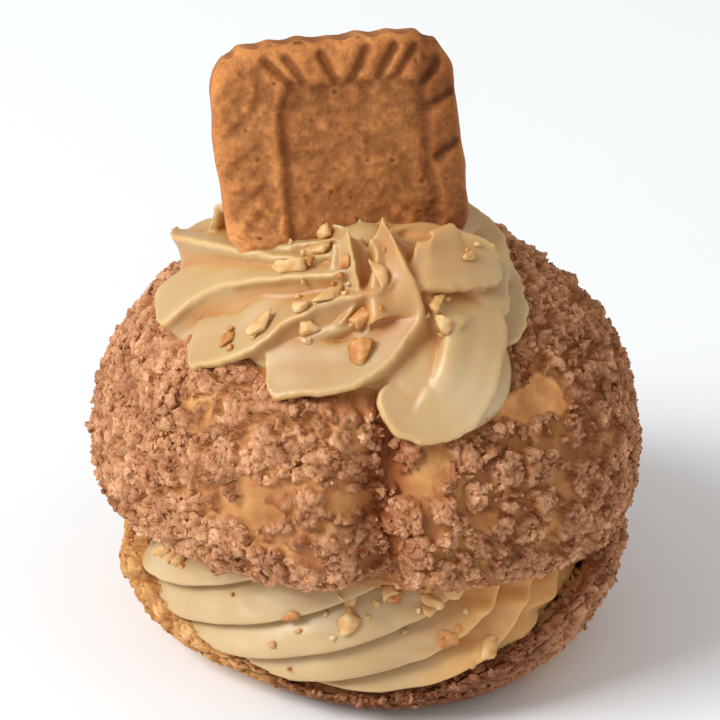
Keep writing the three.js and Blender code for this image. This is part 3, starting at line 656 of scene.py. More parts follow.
def blade_bmesh(blade, side):
    """One blade of cream. Side is 1, or -1 for a blade that folds the other way."""
    def shape(around, along):
        share = along ** BLADE_CROWDING
        lip = lip_points(blade["lip"], share)
        ahead = lip_points(blade["lip"], share + AHEAD) - lip_points(blade["lip"], share - AHEAD)
        up = unit(lip)
        height = np.linalg.norm(lip, axis=1) - dome_radius(up)
        here = up * dome_radius(up)[:, None]
        inward = side * unit(np.cross(up, ahead))
        from_heart = np.arccos(np.clip(up @ HEART, -1, 1)) * LID_HEIGHT
        room = np.maximum(from_heart * BLADE_ROOM, BLADE_THINNEST)
        width = np.minimum(blend(blade["tip"], blade["width"], ease(share, 0, WIDENING)), room)
        undercut = np.minimum(UNDERCUT, width / 2)
        stepped = ease(share, *blade["riser"])
        reach = np.minimum(blade["reach"], room)
        blunt = 1 - np.minimum(share / blade["blunt"], 1)
        opened = np.sqrt(1 - BLUNT_WIDTH * blunt * blunt)
        wave = ruffled(lip, blade["ruffle"])
        root = np.full(len(share), -BLADE_ROOT)

        def face(across):
            return height * (1 - blade["dip"] * math.sin(across * math.pi / 2))

        def outside(free, out, free_fall, riser_fall):
            """A corner on the lip's outer side, for a free lip and for one with a riser below it."""
            fall = blend(free_fall * LIP, riser_fall * blade["drop"], stepped)
            level = np.maximum(height - fall, -LOWEST_CORNER * BLADE_ROOT)
            return blend(free, -out * reach, stepped), level

        tread = [(across * width, face(across)) for across in TREAD_CORNERS]
        foot = outside(undercut, *RISER_FOOT)
        hollow = outside(HOLLOW_UNDERCUT * undercut, *RISER_HOLLOW)
        below_lip = outside(wave - LIP_OVERHANG, *UNDER_LIP)
        corners = np.array([
            (wave, height), *tread, (width, root), (foot[0], root), foot, hollow, below_lip,
        ]).transpose(0, 2, 1)
        section = round_spline(corners, around)
        shifted = blend(BLUNT_MIDDLE * width, section[:, 0], opened)
        ways = unit(here + inward * shifted[:, None])
        return ways * (dome_radius(ways) + section[:, 1])[:, None]

    return rolled(RING_POINTS, STATIONS, shape)


def turned_blade(blade, turn):
    return dict(blade, lip=[(angle + turn, distance, height) for angle, distance, height in blade["lip"]])


print("a blade is followed in", STATIONS, "steps")

# %% [markdown]
# ## Mound and puffs
# Under the blades the cream is one soft heap, with a peak at the heart. The mound and the puffs are
# rolled grids too: each is a low round cushion that follows the dome, closed above and below. Balls
# squashed flat would be quicker, but they wouldn't follow the dome's curve.

# %% Mound and puffs
MOUND_GRID = (60, 40)
PUFF_GRID = (40, 30)
PUFF_FLATNESS = 2.6


def mound_bmesh():
    def shape(around, along):
        top = along > 0.5
        distance = np.where(top, 2 - 2 * along, 2 * along) * MOUND_REACH
        fall = np.cos(distance / MOUND_REACH * math.pi / 2)
        peak = PEAK_HEIGHT * np.exp(-((distance / PEAK_REACH) ** 2))
        height = np.where(top, MOUND_HEIGHT * fall + peak, -MOUND_ROOT * fall)
        return over_dome(360 * around, distance, height)

    return rolled(*MOUND_GRID, shape)


def puff_bmesh(puff):
    """A low round cushion on the dome, tilted so that its right side stands higher, and scooped."""
    angle, distance = math.radians(puff["angle"]), math.radians(puff["distance"])
    outward = heart_right * math.cos(angle) + heart_back * math.sin(angle)
    middle = HEART * math.cos(distance) + outward * math.sin(distance)
    aside = unit(np.cross(middle, HEART))
    ahead = np.cross(middle, aside)

    def shape(around, along):
        turn = (2 * math.pi * around)[:, None]
        bend = np.pi * (along - 0.5)
        spread = np.radians(puff["reach"] * np.cos(bend))[:, None]
        ways = middle * np.cos(spread) + (aside * np.cos(turn) + ahead * np.sin(turn)) * np.sin(spread)
        right = -np.cos(turn[:, 0]) * np.cos(bend)
        height = puff["height"] * (1 + puff["tilt"] * right + puff["scoop"] * (right ** 2 - 0.5))
        height *= np.sign(bend) * np.sqrt(1 - np.cos(bend) ** PUFF_FLATNESS)
        return ways * (dome_radius(ways) + height)[:, None]

    return rolled(*PUFF_GRID, shape)


print("puffs:", len(PUFFS))

# %% [markdown]
# ## Fusing the cream
# Cream runs together, so the crossing forms have to become one skin. A Boolean union could do it,
# but the Remesh modifier also rounds the joins. The voxel size is a compromise: small enough to keep
# a lip of a millimetre and a half sharp, and large enough to stay within the triangle budget of one
# piece. The result is baked into a new mesh, so the finished rosette carries no live modifier.

# %% Fuse crossing forms
def fused(bm, name, voxel, rounds):
    """Fuses crossing closed forms in a bmesh into one skin, and smooths it."""
    mesh = bpy.data.meshes.new(name)
    bm.to_mesh(mesh)
    bm.free()
    rough = bpy.data.objects.new(name, mesh)
    bpy.context.scene.collection.objects.link(rough)
    remesh = rough.modifiers.new("fuse", "REMESH")
    remesh.mode = "VOXEL"
    remesh.voxel_size = voxel
    smooth = rough.modifiers.new("soften", "SMOOTH")
    smooth.factor = 0.5
    smooth.iterations = rounds
    done = bpy.data.meshes.new_from_object(rough.evaluated_get(bpy.context.evaluated_depsgraph_get()))
    bpy.data.objects.remove(rough)
    out = bmesh.new()
    out.from_mesh(done)
    bpy.data.meshes.remove(done)
    return out


def joined(parts):
    """One bmesh that holds several."""
    whole = bmesh.new()
    for part in parts:
        bmesh.ops.recalc_face_normals(part, faces=part.faces)
        mesh = bpy.data.meshes.new("part")
        part.to_mesh(mesh)
        part.free()
        whole.from_mesh(mesh)
        bpy.data.meshes.remove(mesh)
    return whole


print("forms are fused with Remesh")

# %% [markdown]
# ## The finished rosette
# The mound, the puffs, the blades and the petal are fused and set on the lid. A painted warm shade
# makes the cream golden at the right of the heart, and a painted sheen makes it pale on the broad
# lobe in front, both on top of the folds. A search tree over its faces is kept: crumbs and nuts need
# to know where the cream is.

# %% Rosette
ROSETTE_VOXEL = 0.27
ROSETTE_SOFTENING = 3
ROSETTE_FOLDS = ((30, 0.45), (160, 0.8))
WARM_SHADE_REACH = (16, 27)
WARM_SHADE_SIDE = (-0.06, 0.1)
SHEEN_LOBE = (-55.0, 37.0)
SHEEN_REACH = (4, 15)


def rosette_sheen_and_shade(ways):
    """0.5 on plain cream, more where a warm shade is painted and less where a pale sheen is painted."""
    golden = (1 - ease(away_from(HEART, ways), *WARM_SHADE_REACH)) * ease(ways @ heart_right, *WARM_SHADE_SIDE)
    angle, distance = np.array([SHEEN_LOBE]).T
    lobe = unit(over_dome(angle, distance, np.zeros(1)))[0]
    pale = 1 - ease(away_from(lobe, ways), *SHEEN_REACH)
    return 0.5 + 0.5 * golden - 0.5 * pale


def make_rosette():
    blades = BLADES + [turned_blade(BACK_BLADE, turn) for turn in BACK_TURNS]
    parts = [mound_bmesh()] + [puff_bmesh(puff) for puff in PUFFS]
    parts += [blade_bmesh(blade, 1) for blade in blades] + [blade_bmesh(PETAL, -1)]
    bm = fused(joined(parts), "rosette", ROSETTE_VOXEL, ROSETTE_SOFTENING)
    places = places_of(bm)
    move_to(bm, placed_points(places, lid_place))
    rosette = finished(bm, "piped_rosette", ROSETTE_CREAM, ["cream_rosette"])
    paint_folds(rosette.data, *ROSETTE_FOLDS)
    # Painted warm shade right of the heart and a painted pale sheen on the lobe in front.
    paint(rosette.data, "sheen_and_warm_shade", rosette_sheen_and_shade(unit(places)))
    return rosette


def body_of(piece):
    """A search tree over a finished piece's faces, in metres."""
    bm = bmesh.new()
    bm.from_mesh(piece.data)
    tree = BVHTree.FromBMesh(bm)
    bm.free()
    return tree


rosette_body = body_of(make_rosette())

# %% [markdown]
# ## The crackled crust's finish
# The lid was baked under a disc of sugar dough, which broke into pinkish brown crumbs over golden
# choux. Three numbers are painted on the mesh: how much crumb covers a point, how much painted shade
# darkens it, and where a painted light brightens the bare skin. The finish mixes golden skin and crumb
# by the first, darkens by the second, which is painted shade in cracks and hollows with a random tone
# on loose lumps, and brightens the skin by the third.

# %% Crackled crust finish
SKIN = ((0.3, (0.33, 0.115, 0.034)), (0.5, (0.53, 0.23, 0.072)), (0.68, (0.72, 0.39, 0.145)))
LIT_SKIN = ((0.3, (0.56, 0.22, 0.07)), (0.5, (0.87, 0.41, 0.145)), (0.68, (1.0, 0.62, 0.28)))
CRUMB = ((0.3, (0.395, 0.168, 0.078)), (0.5, (0.61, 0.308, 0.158)), (0.7, (0.86, 0.49, 0.283)))
CRUMB_SPECKS = ((0.3, (0.66, 0.58, 0.54)), (0.55, PLAIN), (0.8, (1.25, 1.2, 1.12)))
CRUST_SHADE_AND_TONE = ((0.0, PLAIN), (0.4, (0.8, 0.69, 0.59)), (1.0, (0.42, 0.2, 0.09)))


def crust_finish():
    material, tree, shader = new_finish("crackled_crust")
    blotches = grain(tree, 4.5, 5.0, 1.0)
    # Painted light brightens the bare skin where that number is painted.
    skin = mix(tree, painted(tree, "painted_light"), ramp(tree, blotches, *SKIN), ramp(tree, blotches, *LIT_SKIN))
    crumb = ramp(tree, grain(tree, 3.0, 5.0, 2.0), *CRUMB)
    crumb = tinted(tree, crumb, ramp(tree, grain(tree, 0.4, 2.0, 3.0), *CRUMB_SPECKS), 0.85)
    colour = mix(tree, painted(tree, "crumb"), skin, crumb)
    # Painted shade darkens cracks and hollows; loose lumps also carry a random tone.
    colour = tinted(tree, colour, ramp(tree, painted(tree, "shade_and_tone"), *CRUST_SHADE_AND_TONE))
    tree.links.new(colour, shader.inputs["Base Color"])
    tree.links.new(span(tree, painted(tree, "crumb"), 0.6, 0.85), shader.inputs["Roughness"])
    shader.inputs["Specular IOR Level"].default_value = 0.3
    bumped(tree, shader, grain(tree, 0.45, 4.0, 4.0), 0.25, 0.6)
    return material


CRUST_FINISH = crust_finish()
print("finish:", CRUST_FINISH.name)

# %% [markdown]
# ## Crumb and cracks
# Where the choux swelled most, the crumb parted and smooth golden skin shows. Elsewhere flat
# clusters of crumb lie side by side with ragged gaps between them, and each cluster is grainy.
# A displacement texture could lift the crumb, but the finish, the relief and the loose crumbs all
# have to agree on where it lies, so one rule tells it for all three.

# %% Where the crumb lies
# Latitude, azimuth, half length and half height of each bare patch, in degrees
BARE_PATCHES = [
    (25, -48, 14, 4.5), (13, -76, 5, 6), (20, -127, 1.3, 7), (15, -85, 1.6, 10), (2, -112, 9, 3),
    (6, -93, 6, 2.2), (2, -64, 4, 2.2), (30, 40, 12, 4), (8, 75, 9, 4), (24, 140, 4, 9),
]
PATCH_RAGGEDNESS = 0.4
PATCH_EDGE = (0.8, 1.0)
CLUSTER_SIZE = 4.4
GAP = 0.08
GAP_VARIETY = 0.9
GAP_BEFORE = 0.05
GAP_AFTER = 0.07
CRUMB_START = 30
CRUMB_FULL = 38


def bareness(ways, ragged):
    """1 where the crumb has parted over bare choux."""
    latitude, azimuth = latitude_azimuth(ways)
    most = np.zeros(len(ways))
    for patch_latitude, patch_azimuth, half_length, half_height in BARE_PATCHES:
        along = turn_between(azimuth, patch_azimuth) / half_length
        up = (latitude - patch_latitude) / half_height
        most = np.maximum(most, 1 - ease(np.hypot(along, up) + PATCH_RAGGEDNESS * ragged, *PATCH_EDGE))
    return most


def crumb_cover(ways):
    """How much crumb lies at each way, the share of its cluster, and how bare the choux is."""
    broad = ways * LID_RADIUS
    ragged = jostled(jostled(broad, 1.0, 3.0, 51), 0.5, 1.1, 54)
    first, second, tone = cobbles(ragged, CLUSTER_SIZE, 41)
    gap = GAP * (1 + GAP_VARIETY * waviness(broad, 8, 57))
    cover = ease(second - first, gap - GAP_BEFORE, gap + GAP_AFTER)
    bare = bareness(ways, waviness(broad, 3, 58) + 0.4 * waviness(broad, 1.2, 59))
    return cover * (1 - bare) * ease(away_from(HEART, ways), CRUMB_START, CRUMB_FULL), tone, bare


print("bare patches:", len(BARE_PATCHES))

# %% [markdown]
# ## The crust's relief
# A point of the lid lies on the broad form, lifted by the crumb there: first the cluster, then the
# crumbs in it, then grit. The same rule gives the painted numbers. Painted shade darkens the cracks,
# the edges of clusters, the valley, the slope beside it and the gaps on the shaded right side, and a
# painted light makes the bare patch there golden.

# %% Relief and painted numbers of the crust
CLUSTER_HEIGHT = 0.6
CLUSTER_LOWEST = 0.6
CLUSTER_VARIETY = 0.8
CRUMB_SIZE = 1.9
CRUMB_HEIGHT = 0.75
GRIT_SIZE = 0.95
GRIT_HEIGHT = 0.45
CRACK_WIDTH = 0.2
LUMP_LOWEST = 0.35
LUMP_VARIETY = 0.65
SKIN_RELIEF = 0.15
RIM_BAND = 3
CRUMB_PAINT = (0.2, 0.6)
VALLEY_PAINT_WIDTH = 4.5
VALLEY_PAINT_RISE = (-18, 2)
SLOPE_WIDTH = 13
SLOPE_START = 3
RIGHT_SIDE_START = (-68, -56)
RIGHT_SIDE_END = (0, 30)
CRACK_SHADE = 0.45
GRIT_SHADE = 0.4
EDGE_SHADE = 0.5
VALLEY_SHADE = 0.75
SLOPE_SHADE = 0.42
GAP_SHADE = 0.4


def lump(points, size, seed):
    """Flat-topped crumbs of different heights, from 0 to 1, and how deep the cracks between them are."""
    first, second, tone = cobbles(points, size, seed)
    inside = ease(second - first, 0, CRACK_WIDTH)
    return inside * (LUMP_LOWEST + LUMP_VARIETY * tone), 1 - inside


def sine(degrees):
    return math.sin(math.radians(degrees))


def lid_surface(ways):
    """Radius of the crusted lid, and its painted numbers there."""
    broad = jostled(ways * LID_RADIUS, 0.5, 1.6, 61)
    cover, tone, bare = crumb_cover(ways)
    crumb, crack = lump(broad, CRUMB_SIZE, 21)
    grit, grit_crack = lump(broad, GRIT_SIZE, 31)
    height = CLUSTER_HEIGHT * (CLUSTER_LOWEST + CLUSTER_VARIETY * tone)
    height = height + CRUMB_HEIGHT * crumb + GRIT_HEIGHT * grit
    height *= ease(ways[:, 2], sine(LID_CUT_LATITUDE), sine(LID_CUT_LATITUDE + RIM_BAND))
    skin = SKIN_RELIEF * waviness(ways * LID_RADIUS, 1.8, 71)
    latitude, azimuth = latitude_azimuth(ways)
    # Painted shade in the valley, on the slope beside it, in gaps on the right and at cracks and cluster
    # edges.
    beside = turn_between(azimuth, VALLEY_AZIMUTH)
    valley = np.exp(-((beside / VALLEY_PAINT_WIDTH) ** 2)) * ease(latitude, *VALLEY_PAINT_RISE)
    slope = (1 - cover) * np.exp(-((beside / SLOPE_WIDTH) ** 2)) * ease(beside, 0, SLOPE_START)
    # Painted light on the bare patch on the right side, which lies in shade.
    right = ease(azimuth, *RIGHT_SIDE_START) * (1 - ease(azimuth, *RIGHT_SIDE_END))
    gap = right * (1 - cover) * (1 - bare)
    edge = cover * (1 - cover) * 4
    shade_and_tone = cover * (CRACK_SHADE * crack + GRIT_SHADE * grit_crack) + EDGE_SHADE * edge
    shade_and_tone += VALLEY_SHADE * valley + SLOPE_SHADE * slope + GAP_SHADE * gap
    numbers = dict(crumb=ease(cover, *CRUMB_PAINT), shade_and_tone=np.clip(shade_and_tone, 0, 1), painted_light=right * bare)
    return lid_form(ways) + skin + cover * height, numbers


highest_cluster = CLUSTER_HEIGHT * (CLUSTER_LOWEST + CLUSTER_VARIETY)
print("crumb stands up to", round(highest_cluster + CRUMB_HEIGHT + GRIT_HEIGHT, 2), "mm high")

# %% [markdown]
# ## The lid
# Each point of a finely cut cube is blown up to the dome and then lifted by the crust's rule, so that
# crags and cracks are real relief and not only a picture of it. A cube is better here than a globe,
# whose poles would crowd the points. A plane cuts the lid off flat below. Where cream lies over the
# crust, the crust is held a little below it.

# %% Lid with its crust
LID_CUTS = 146
RIM_MERGE = 0.002
FLOOR_INSETS = (0.06, 0.1, 0.3)
FLOOR_LIMIT = 0.995
FLOOR_RELIEF = 0.5
ROSETTE_SPREAD = 55
CREAM_COVER = 0.8


def lid_bmesh():
    bm = bmesh.new()
    bmesh.ops.create_cube(bm, size=2)
    bmesh.ops.subdivide_edges(bm, edges=bm.edges, cuts=LID_CUTS, use_grid_fill=True)
    move_to(bm, unit(np.tan(places_of(bm) * math.pi / 4)))
    everything = bm.verts[:] + bm.edges[:] + bm.faces[:]
    cut = (0, 0, sine(LID_CUT_LATITUDE))
    bmesh.ops.bisect_plane(bm, geom=everything, plane_co=cut, plane_no=(0, 0, 1), clear_inner=True)
    rim = list(dict.fromkeys(vert for edge in open_edges(bm) for vert in edge.verts))
    bmesh.ops.remove_doubles(bm, verts=rim, dist=RIM_MERGE)
    floor = bmesh.ops.holes_fill(bm, edges=open_edges(bm), sides=0)["faces"]
    for inset in FLOOR_INSETS:
        bmesh.ops.inset_region(bm, faces=floor, thickness=inset, use_even_offset=True)
    return bm


def under_cream(ways, radius):
    """The radius of the crust, held a little below the rosette's skin where cream lies over it."""
    turn = lid_place.to_3x3()
    form = lid_form(ways)
    held = radius.copy()
    for number in np.nonzero(ways @ HEART > math.cos(math.radians(ROSETTE_SPREAD)))[0]:
        way = turn @ Vector(ways[number])
        skin = rosette_body.ray_cast((LID_CENTRE + way * 2 * LID_RADIUS) * MM, -way)[0]
        if skin is not None:
            room = (skin / MM - LID_CENTRE).length - CREAM_COVER
            held[number] = min(radius[number], max(room, form[number]))
    return held


def make_lid():
    bm = lid_bmesh()
    ways = places_of(bm)
    below = np.linalg.norm(ways, axis=1) < FLOOR_LIMIT
    radius, numbers = lid_surface(unit(ways))
    places = unit(ways) * under_cream(unit(ways), radius)[:, None]
    level = ways * dome_radius(LID_EDGE)[0]
    level[:, 2] = LID_CUT_HEIGHT + FLOOR_RELIEF * waviness(level, 3, 81)
    places = np.where(below[:, None], level, places)
    move_to(bm, placed_points(places, lid_place))
    lid = finished(bm, "bun_lid_crust", CRUST_FINISH, ["bun_lid"])
    for name, values in numbers.items():
        paint(lid.data, name, np.where(below, 0, values))


make_lid()

# %% [markdown]
# ## Jagged lumps
# Relief alone can't overhang, and the real crust is full of jagged bits that do. Each bit is one of
# a few jagged lumps, turned and stretched. A lump is the hull round points strewn over a ball, which
# gives sharp corners with few faces. All lumps of one kind are joined into one mesh from arrays,
# because that many separate objects would be slow and hard to export.

# %% Lumps joined into one mesh
LUMP_KINDS = 12
LUMP_REACH = (0.75, 1.1)
LUMP_TILT = 0.8
LUMP_STRETCH = (0.7, 1.3)
LUMP_SQUASH = (1, 1, 0.7)
LUMP_TONES = (-0.2, 0.4)
UNDERSIDE_START = 0.3
UNDERSIDE_GROWTH = 0.6
UNDERSIDE_SHADE = 0.7


def broken_lumps(corners, seed):
    """A few jagged lumps as arrays of points and triangles."""
    draw = np.random.default_rng(seed)
    kinds = []
    for _ in range(LUMP_KINDS):
        bm = bmesh.new()
        for way in unit(draw.normal(size=(corners, 3))) * draw.uniform(*LUMP_REACH, (corners, 1)):
            bm.verts.new(way)
        bmesh.ops.convex_hull(bm, input=bm.verts)
        loose = [vert for vert in bm.verts if not vert.link_faces]
        bmesh.ops.delete(bm, geom=loose, context="VERTS")
        bmesh.ops.recalc_face_normals(bm, faces=bm.faces)
        bm.verts.index_update()
        triangles = np.array([[vert.index for vert in face.verts] for face in bm.faces])
        kinds.append((places_of(bm), triangles))
        bm.free()
    return kinds


def turns_along(normals, draw):
    """For each normal, a random turn about it and a tilt, as matrices."""
    matrices = []
    for normal in normals:
        upright = Vector((0, 0, 1)).rotation_difference(Vector(normal))
        spun = Quaternion((0, 0, 1), draw.uniform(0, 2 * math.pi))
        tipped = Quaternion((1, 0, 0), draw.uniform(-LUMP_TILT, LUMP_TILT))
        matrices.append(np.array((upright @ spun @ tipped).to_matrix()))
    return np.array(matrices)


def joined_lumps(name, kinds, middles, normals, sizes, draw, crumb=1.0, shade=0.0):
    """One mesh of many lumps: crumb is 1 for crust and 0 for soft choux, and shade darkens."""
    turns = turns_along(normals, draw)
    crumb, shade = np.broadcast_to(crumb, len(middles)), np.broadcast_to(shade, len(middles))
    points, triangles, crust, shade_and_tone = [], [], [], []
    start = 0
    for number, middle in enumerate(middles):
        ball, faces = kinds[number % LUMP_KINDS]
        stretched = ball * sizes[number] / 2 * draw.uniform(*LUMP_STRETCH, 3) * LUMP_SQUASH
        points.append(stretched @ turns[number].T + middle)
        triangles.append(faces + start)
        crust.append(np.full(len(ball), crumb[number]))
        # Painted shade on each lump's underside, with a random tone and the shade passed in.
        under = np.clip(UNDERSIDE_START - UNDERSIDE_GROWTH * ball[:, 2], 0, 1)
        shade_and_tone.append(under * UNDERSIDE_SHADE + draw.uniform(*LUMP_TONES) + shade[number])
        start += len(ball)
    mesh = bpy.data.meshes.new(name)
    mesh.from_pydata(np.concatenate(points) * MM, [], np.concatenate(triangles))
    paint(mesh, "crumb", np.concatenate(crust))
    paint(mesh, "shade_and_tone", np.clip(np.concatenate(shade_and_tone), 0, 1))
    return mesh


print("kinds of lump:", LUMP_KINDS)

# %% [markdown]
# ## Loose crumbs on the lid
# Several thousand lumps lie on the crust at true size, in two pieces: larger lumps and grit. They are
# drawn at random over the dome, and kept where the crust has crumb and where a waviness heaps them
# up. Lumps that would poke through the rosette are left out.

# %% Crumbs on the lid
CRUMB_TRIES = 8
CRUMB_HEAPS = (-0.6, 0.5)
CRUMB_SINK = 0.15
CRUMB_ROOM = 0.6


def clear_of_cream(middles, room):
    """True for places outside the rosette by the given room."""
    clear = []
    for middle, gap in zip(middles, room):
        place, normal, _, distance = rosette_body.find_nearest(Vector(middle) * MM)
        outside = (Vector(middle) * MM - place).dot(normal) > 0
        clear.append(outside and distance > gap * MM)
    return np.array(clear)


def lid_crumbs(count, smallest, largest, draw, seed):
    """Places, normals and sizes of crumbs over the lid, where its crust has crumb."""
    ways = unit(draw.normal(size=(count * CRUMB_TRIES, 3)))
    ways = ways[ways[:, 2] > sine(LID_CUT_LATITUDE)]
    broad = ways * LID_RADIUS
    heaped = waviness(broad, 3.4, seed) + 0.6 * waviness(broad, 1.5, seed + 1)
    thick = crumb_cover(ways)[0] * ease(heaped, *CRUMB_HEAPS)
    ways = ways[thick > draw.uniform(0.2, 1, len(ways))][:count]
    radius = lid_surface(ways)[0]
    sizes = smallest + (largest - smallest) * draw.uniform(0, 1, len(ways)) ** 2
    middles = placed_points(ways * (radius - CRUMB_SINK * sizes)[:, None], lid_place)
    normals = placed_points(ways, lid_place) - np.array(lid_place.translation)
    clear = clear_of_cream(middles, CRUMB_ROOM * sizes)
    return middles[clear], normals[clear], sizes[clear]


def make_crumbs(name, count, smallest, largest, corners, seed):
    draw = np.random.default_rng(seed)
    middles, normals, sizes = lid_crumbs(count, smallest, largest, draw, seed)
    kinds = broken_lumps(corners, seed)
    mesh = joined_lumps(name, kinds, middles, normals, sizes, draw)
    placed(mesh, name, CRUST_FINISH, smooth=False)


make_crumbs("crust_lumps", count=4600, smallest=0.7, largest=2.0, corners=18, seed=7)
make_crumbs("crust_grit", count=9500, smallest=0.35, largest=0.85, corners=10, seed=8)

# %% [markdown]
# ## The base's form
# The base is a shallow dish, and the filling stands in it, so the dish's form comes first. Its rim
# is low in front and highest at the right, and it is flattened a little at the front left. These are
# the same sizes as in the solid. The dish's inside tells how far the filling may spread.

# %% Form of the base
CLEARANCE = 0.3
BASE_RADIUS = 32
BASE_WALL = 5
BASE_RIM = 5.2
BASE_SHIFT = 0.035
BASE_FLAT_AZIMUTH = -122
BASE_FLAT_HALF_WIDTH = 38
BASE_FLAT_DEPTH = 0.055
DISH_FLOOR = 3
DISH_FLOOR_RADIUS = 21.5
DISH_OPENING = 20
DISH_OPENING_RISE = 1.5
RIM_RISE_RIGHT = 10.6
RIM_RISE_LEFT = 3
RIM_RISE_BACK = 5
RIM_STEEPNESS = 1.5


def base_rim(x, y):
    """Height of the base's rim: low in front, highest at the right."""
    right = np.maximum(0, x / BASE_RADIUS) ** RIM_STEEPNESS
    left = np.maximum(0, -x / BASE_RADIUS) ** RIM_STEEPNESS
    back = np.maximum(0, y / BASE_RADIUS) ** RIM_STEEPNESS
    return BASE_RIM + RIM_RISE_RIGHT * right + RIM_RISE_LEFT * left + RIM_RISE_BACK * back


def base_growth(x, y):
    """The base is a little larger at the right and flatter at the front left."""
    azimuth = np.degrees(np.arctan2(y, x))
    flat = np.exp(-((turn_between(azimuth, BASE_FLAT_AZIMUTH) / BASE_FLAT_HALF_WIDTH) ** 2))
    return 1 + BASE_SHIFT * np.maximum(0, np.cos(np.radians(azimuth))) - BASE_FLAT_DEPTH * flat


def dish_room(x, y, z):
    """How far from the bun's middle the dish leaves room at a height. Above its rim there is plenty."""
    grow = base_growth(x, y)
    rim = base_rim(x / grow, y / grow)
    share = np.clip((z - DISH_FLOOR) / (rim - DISH_FLOOR), 0, 1)
    room = blend(DISH_FLOOR_RADIUS, BASE_RADIUS - BASE_WALL, np.sqrt(share)) * grow - 3 * CLEARANCE
    return room + DISH_OPENING * ease(z, rim, rim + DISH_OPENING_RISE)


print("base:", 2 * BASE_RADIUS, "mm across")

# %% [markdown]
# ## The filling
# The cream between the halves was piped with the same nozzle round and round, so it shows as slanting
# pleats that lap over each other like shingles. One pleat is a short curve of angle and swell that
# runs past its own end and tucks back under, which gives a true overhang and a crisp shadow. A rolled
# grid repeats it round the bun, and below the base's rim it is held in, so that it stays inside the
# dish. At the right the pleats stand out further and are crinkled like leaves.

# %% Pleated filling
FILLING_MIDDLE = (-1.6, -3.6)
FILLING_FOOT_RADIUS = 16.5
FILLING_NECK_RADIUS = 20.5
FILLING_SKIRT = 5.9
FILLING_RADIUS = 26.6
FILLING_TOP_RADIUS = 24
FILLING_WIDEST = 0.25
FILLING_TUCK = 0.8
FILLING_BULGE = 1.2
FILLING_BULGE_SIDE = (0.4, 0.9)
FILLING_ROWS = 84
FOOT_END = 0.08
FOOT_LIMIT = 0.099
PLEATS_START = 0.1
PLEATS_SPAN = 0.8
TOP_SPAN = 0.1
PLEATS = 12
PLEAT_COLUMNS = 52
PLEAT_DEPTH = 2.9
PLEAT_CROWDING = 44
PLEAT_WIDER = (30, 150)
PLEAT_CLOSER = (-74, 26)
PLEAT_TWIST = 92
PLEAT_CURL = 0.7
PLEAT_START = 55
PLEAT_MIDDLE = 0.6
PLEAT_VARIETY = 0.35
PLEAT_FADE = 0.4
PLEAT_FADE_RISE = (0.75, 1)
LEAFY_SIDE = (0.1, 0.6)
LEAFY_DEPTHS = (0.95, 1.4)
LEAFY_CRINKLES = (0.25, 0.8)
CRINKLE_SPREAD = (10, 12)
PLEAT_CURVE = np.array([
    (0.0, 0.0), (0.12, 0.22), (0.35, 0.52), (0.62, 0.80), (0.86, 0.97), (1.02, 1.0), (1.10, 0.90),
    (1.08, 0.72), (1.02, 0.45), (0.99, 0.18), (1.0, 0.0),
])


def lid_underside(y):
    """Height of the lid's flat cut above a point of the ground."""
    return LID_CENTRE.z + (LID_CUT_HEIGHT + y * math.sin(LID_TILT)) / math.cos(LID_TILT)


def crowded(azimuth):
    """Pleats stand closer and steeper at the right, and wider apart behind. Gives radians."""
    azimuth = turn_between(azimuth, 0)
    shift = ease(azimuth, *PLEAT_WIDER) - ease(azimuth, *PLEAT_CLOSER)
    return np.radians(azimuth + PLEAT_CROWDING * shift)


def plain_body(rise):
    """Radius of the filling without pleats, widest a little above its foot."""
    low = np.where(rise < FILLING_WIDEST, 1 - rise / FILLING_WIDEST, 0)
    above = np.maximum(0, rise - FILLING_WIDEST) / (1 - FILLING_WIDEST)
    return blend(FILLING_RADIUS, FILLING_TOP_RADIUS, above ** 2) - FILLING_TUCK * low ** 2


def filling_shape(around, along):
    """The foot takes the first tenth of the way along, the pleats the next eight, and the top the last."""
    rise = np.clip((along - PLEATS_START) / PLEATS_SPAN, 0, 1)
    number = np.floor(around * PLEATS + 1e-6)
    curve = open_spline(PLEAT_CURVE, around * PLEATS - number)
    cells = np.stack([number % PLEATS, 0 * number, 0 * number], axis=1)
    variety = 1 + PLEAT_VARIETY * (scatter(cells, 5) - 0.5)
    turn = crowded((number + curve[:, 0]) / PLEATS * 360 + PLEAT_TWIST * rise ** PLEAT_CURL - PLEAT_START)
    held = 1 - PLEAT_FADE * ease(rise, *PLEAT_FADE_RISE)
    body = plain_body(rise)
    body += FILLING_BULGE * ease(np.cos(turn), *FILLING_BULGE_SIDE)
    leafy = ease(np.cos(turn), *LEAFY_SIDE)
    body += PLEAT_DEPTH * blend(*LEAFY_DEPTHS, leafy) * variety * held * (curve[:, 1] - PLEAT_MIDDLE)
    wide, tall = CRINKLE_SPREAD
    wavy = np.stack([wide * np.cos(turn), wide * np.sin(turn), tall * rise], axis=1)
    body += blend(*LEAFY_CRINKLES, leafy) * curve[:, 1] * waviness(wavy, 1.2, 211)
    up_foot = np.clip(along / FOOT_END, 0, 1)
    in_foot = along < FOOT_LIMIT
    radius = np.where(in_foot, blend(FILLING_FOOT_RADIUS, FILLING_NECK_RADIUS, up_foot), body)
    radius = radius * np.clip((1 - along) / TOP_SPAN, 0, 1)
    x = FILLING_MIDDLE[0] + radius * np.cos(turn)
    y = FILLING_MIDDLE[1] + radius * np.sin(turn)
    under = blend(DISH_FLOOR + CLEARANCE, FILLING_SKIRT - CLEARANCE, up_foot)
    z = np.where(in_foot, under, blend(FILLING_SKIRT, lid_underside(y) - CLEARANCE, rise))
    held_in = np.minimum(1, dish_room(x, y, z) / np.maximum(np.hypot(x, y), 1))
    return np.stack([x * held_in, y * held_in, z], axis=1)


print("pleats:", PLEATS)

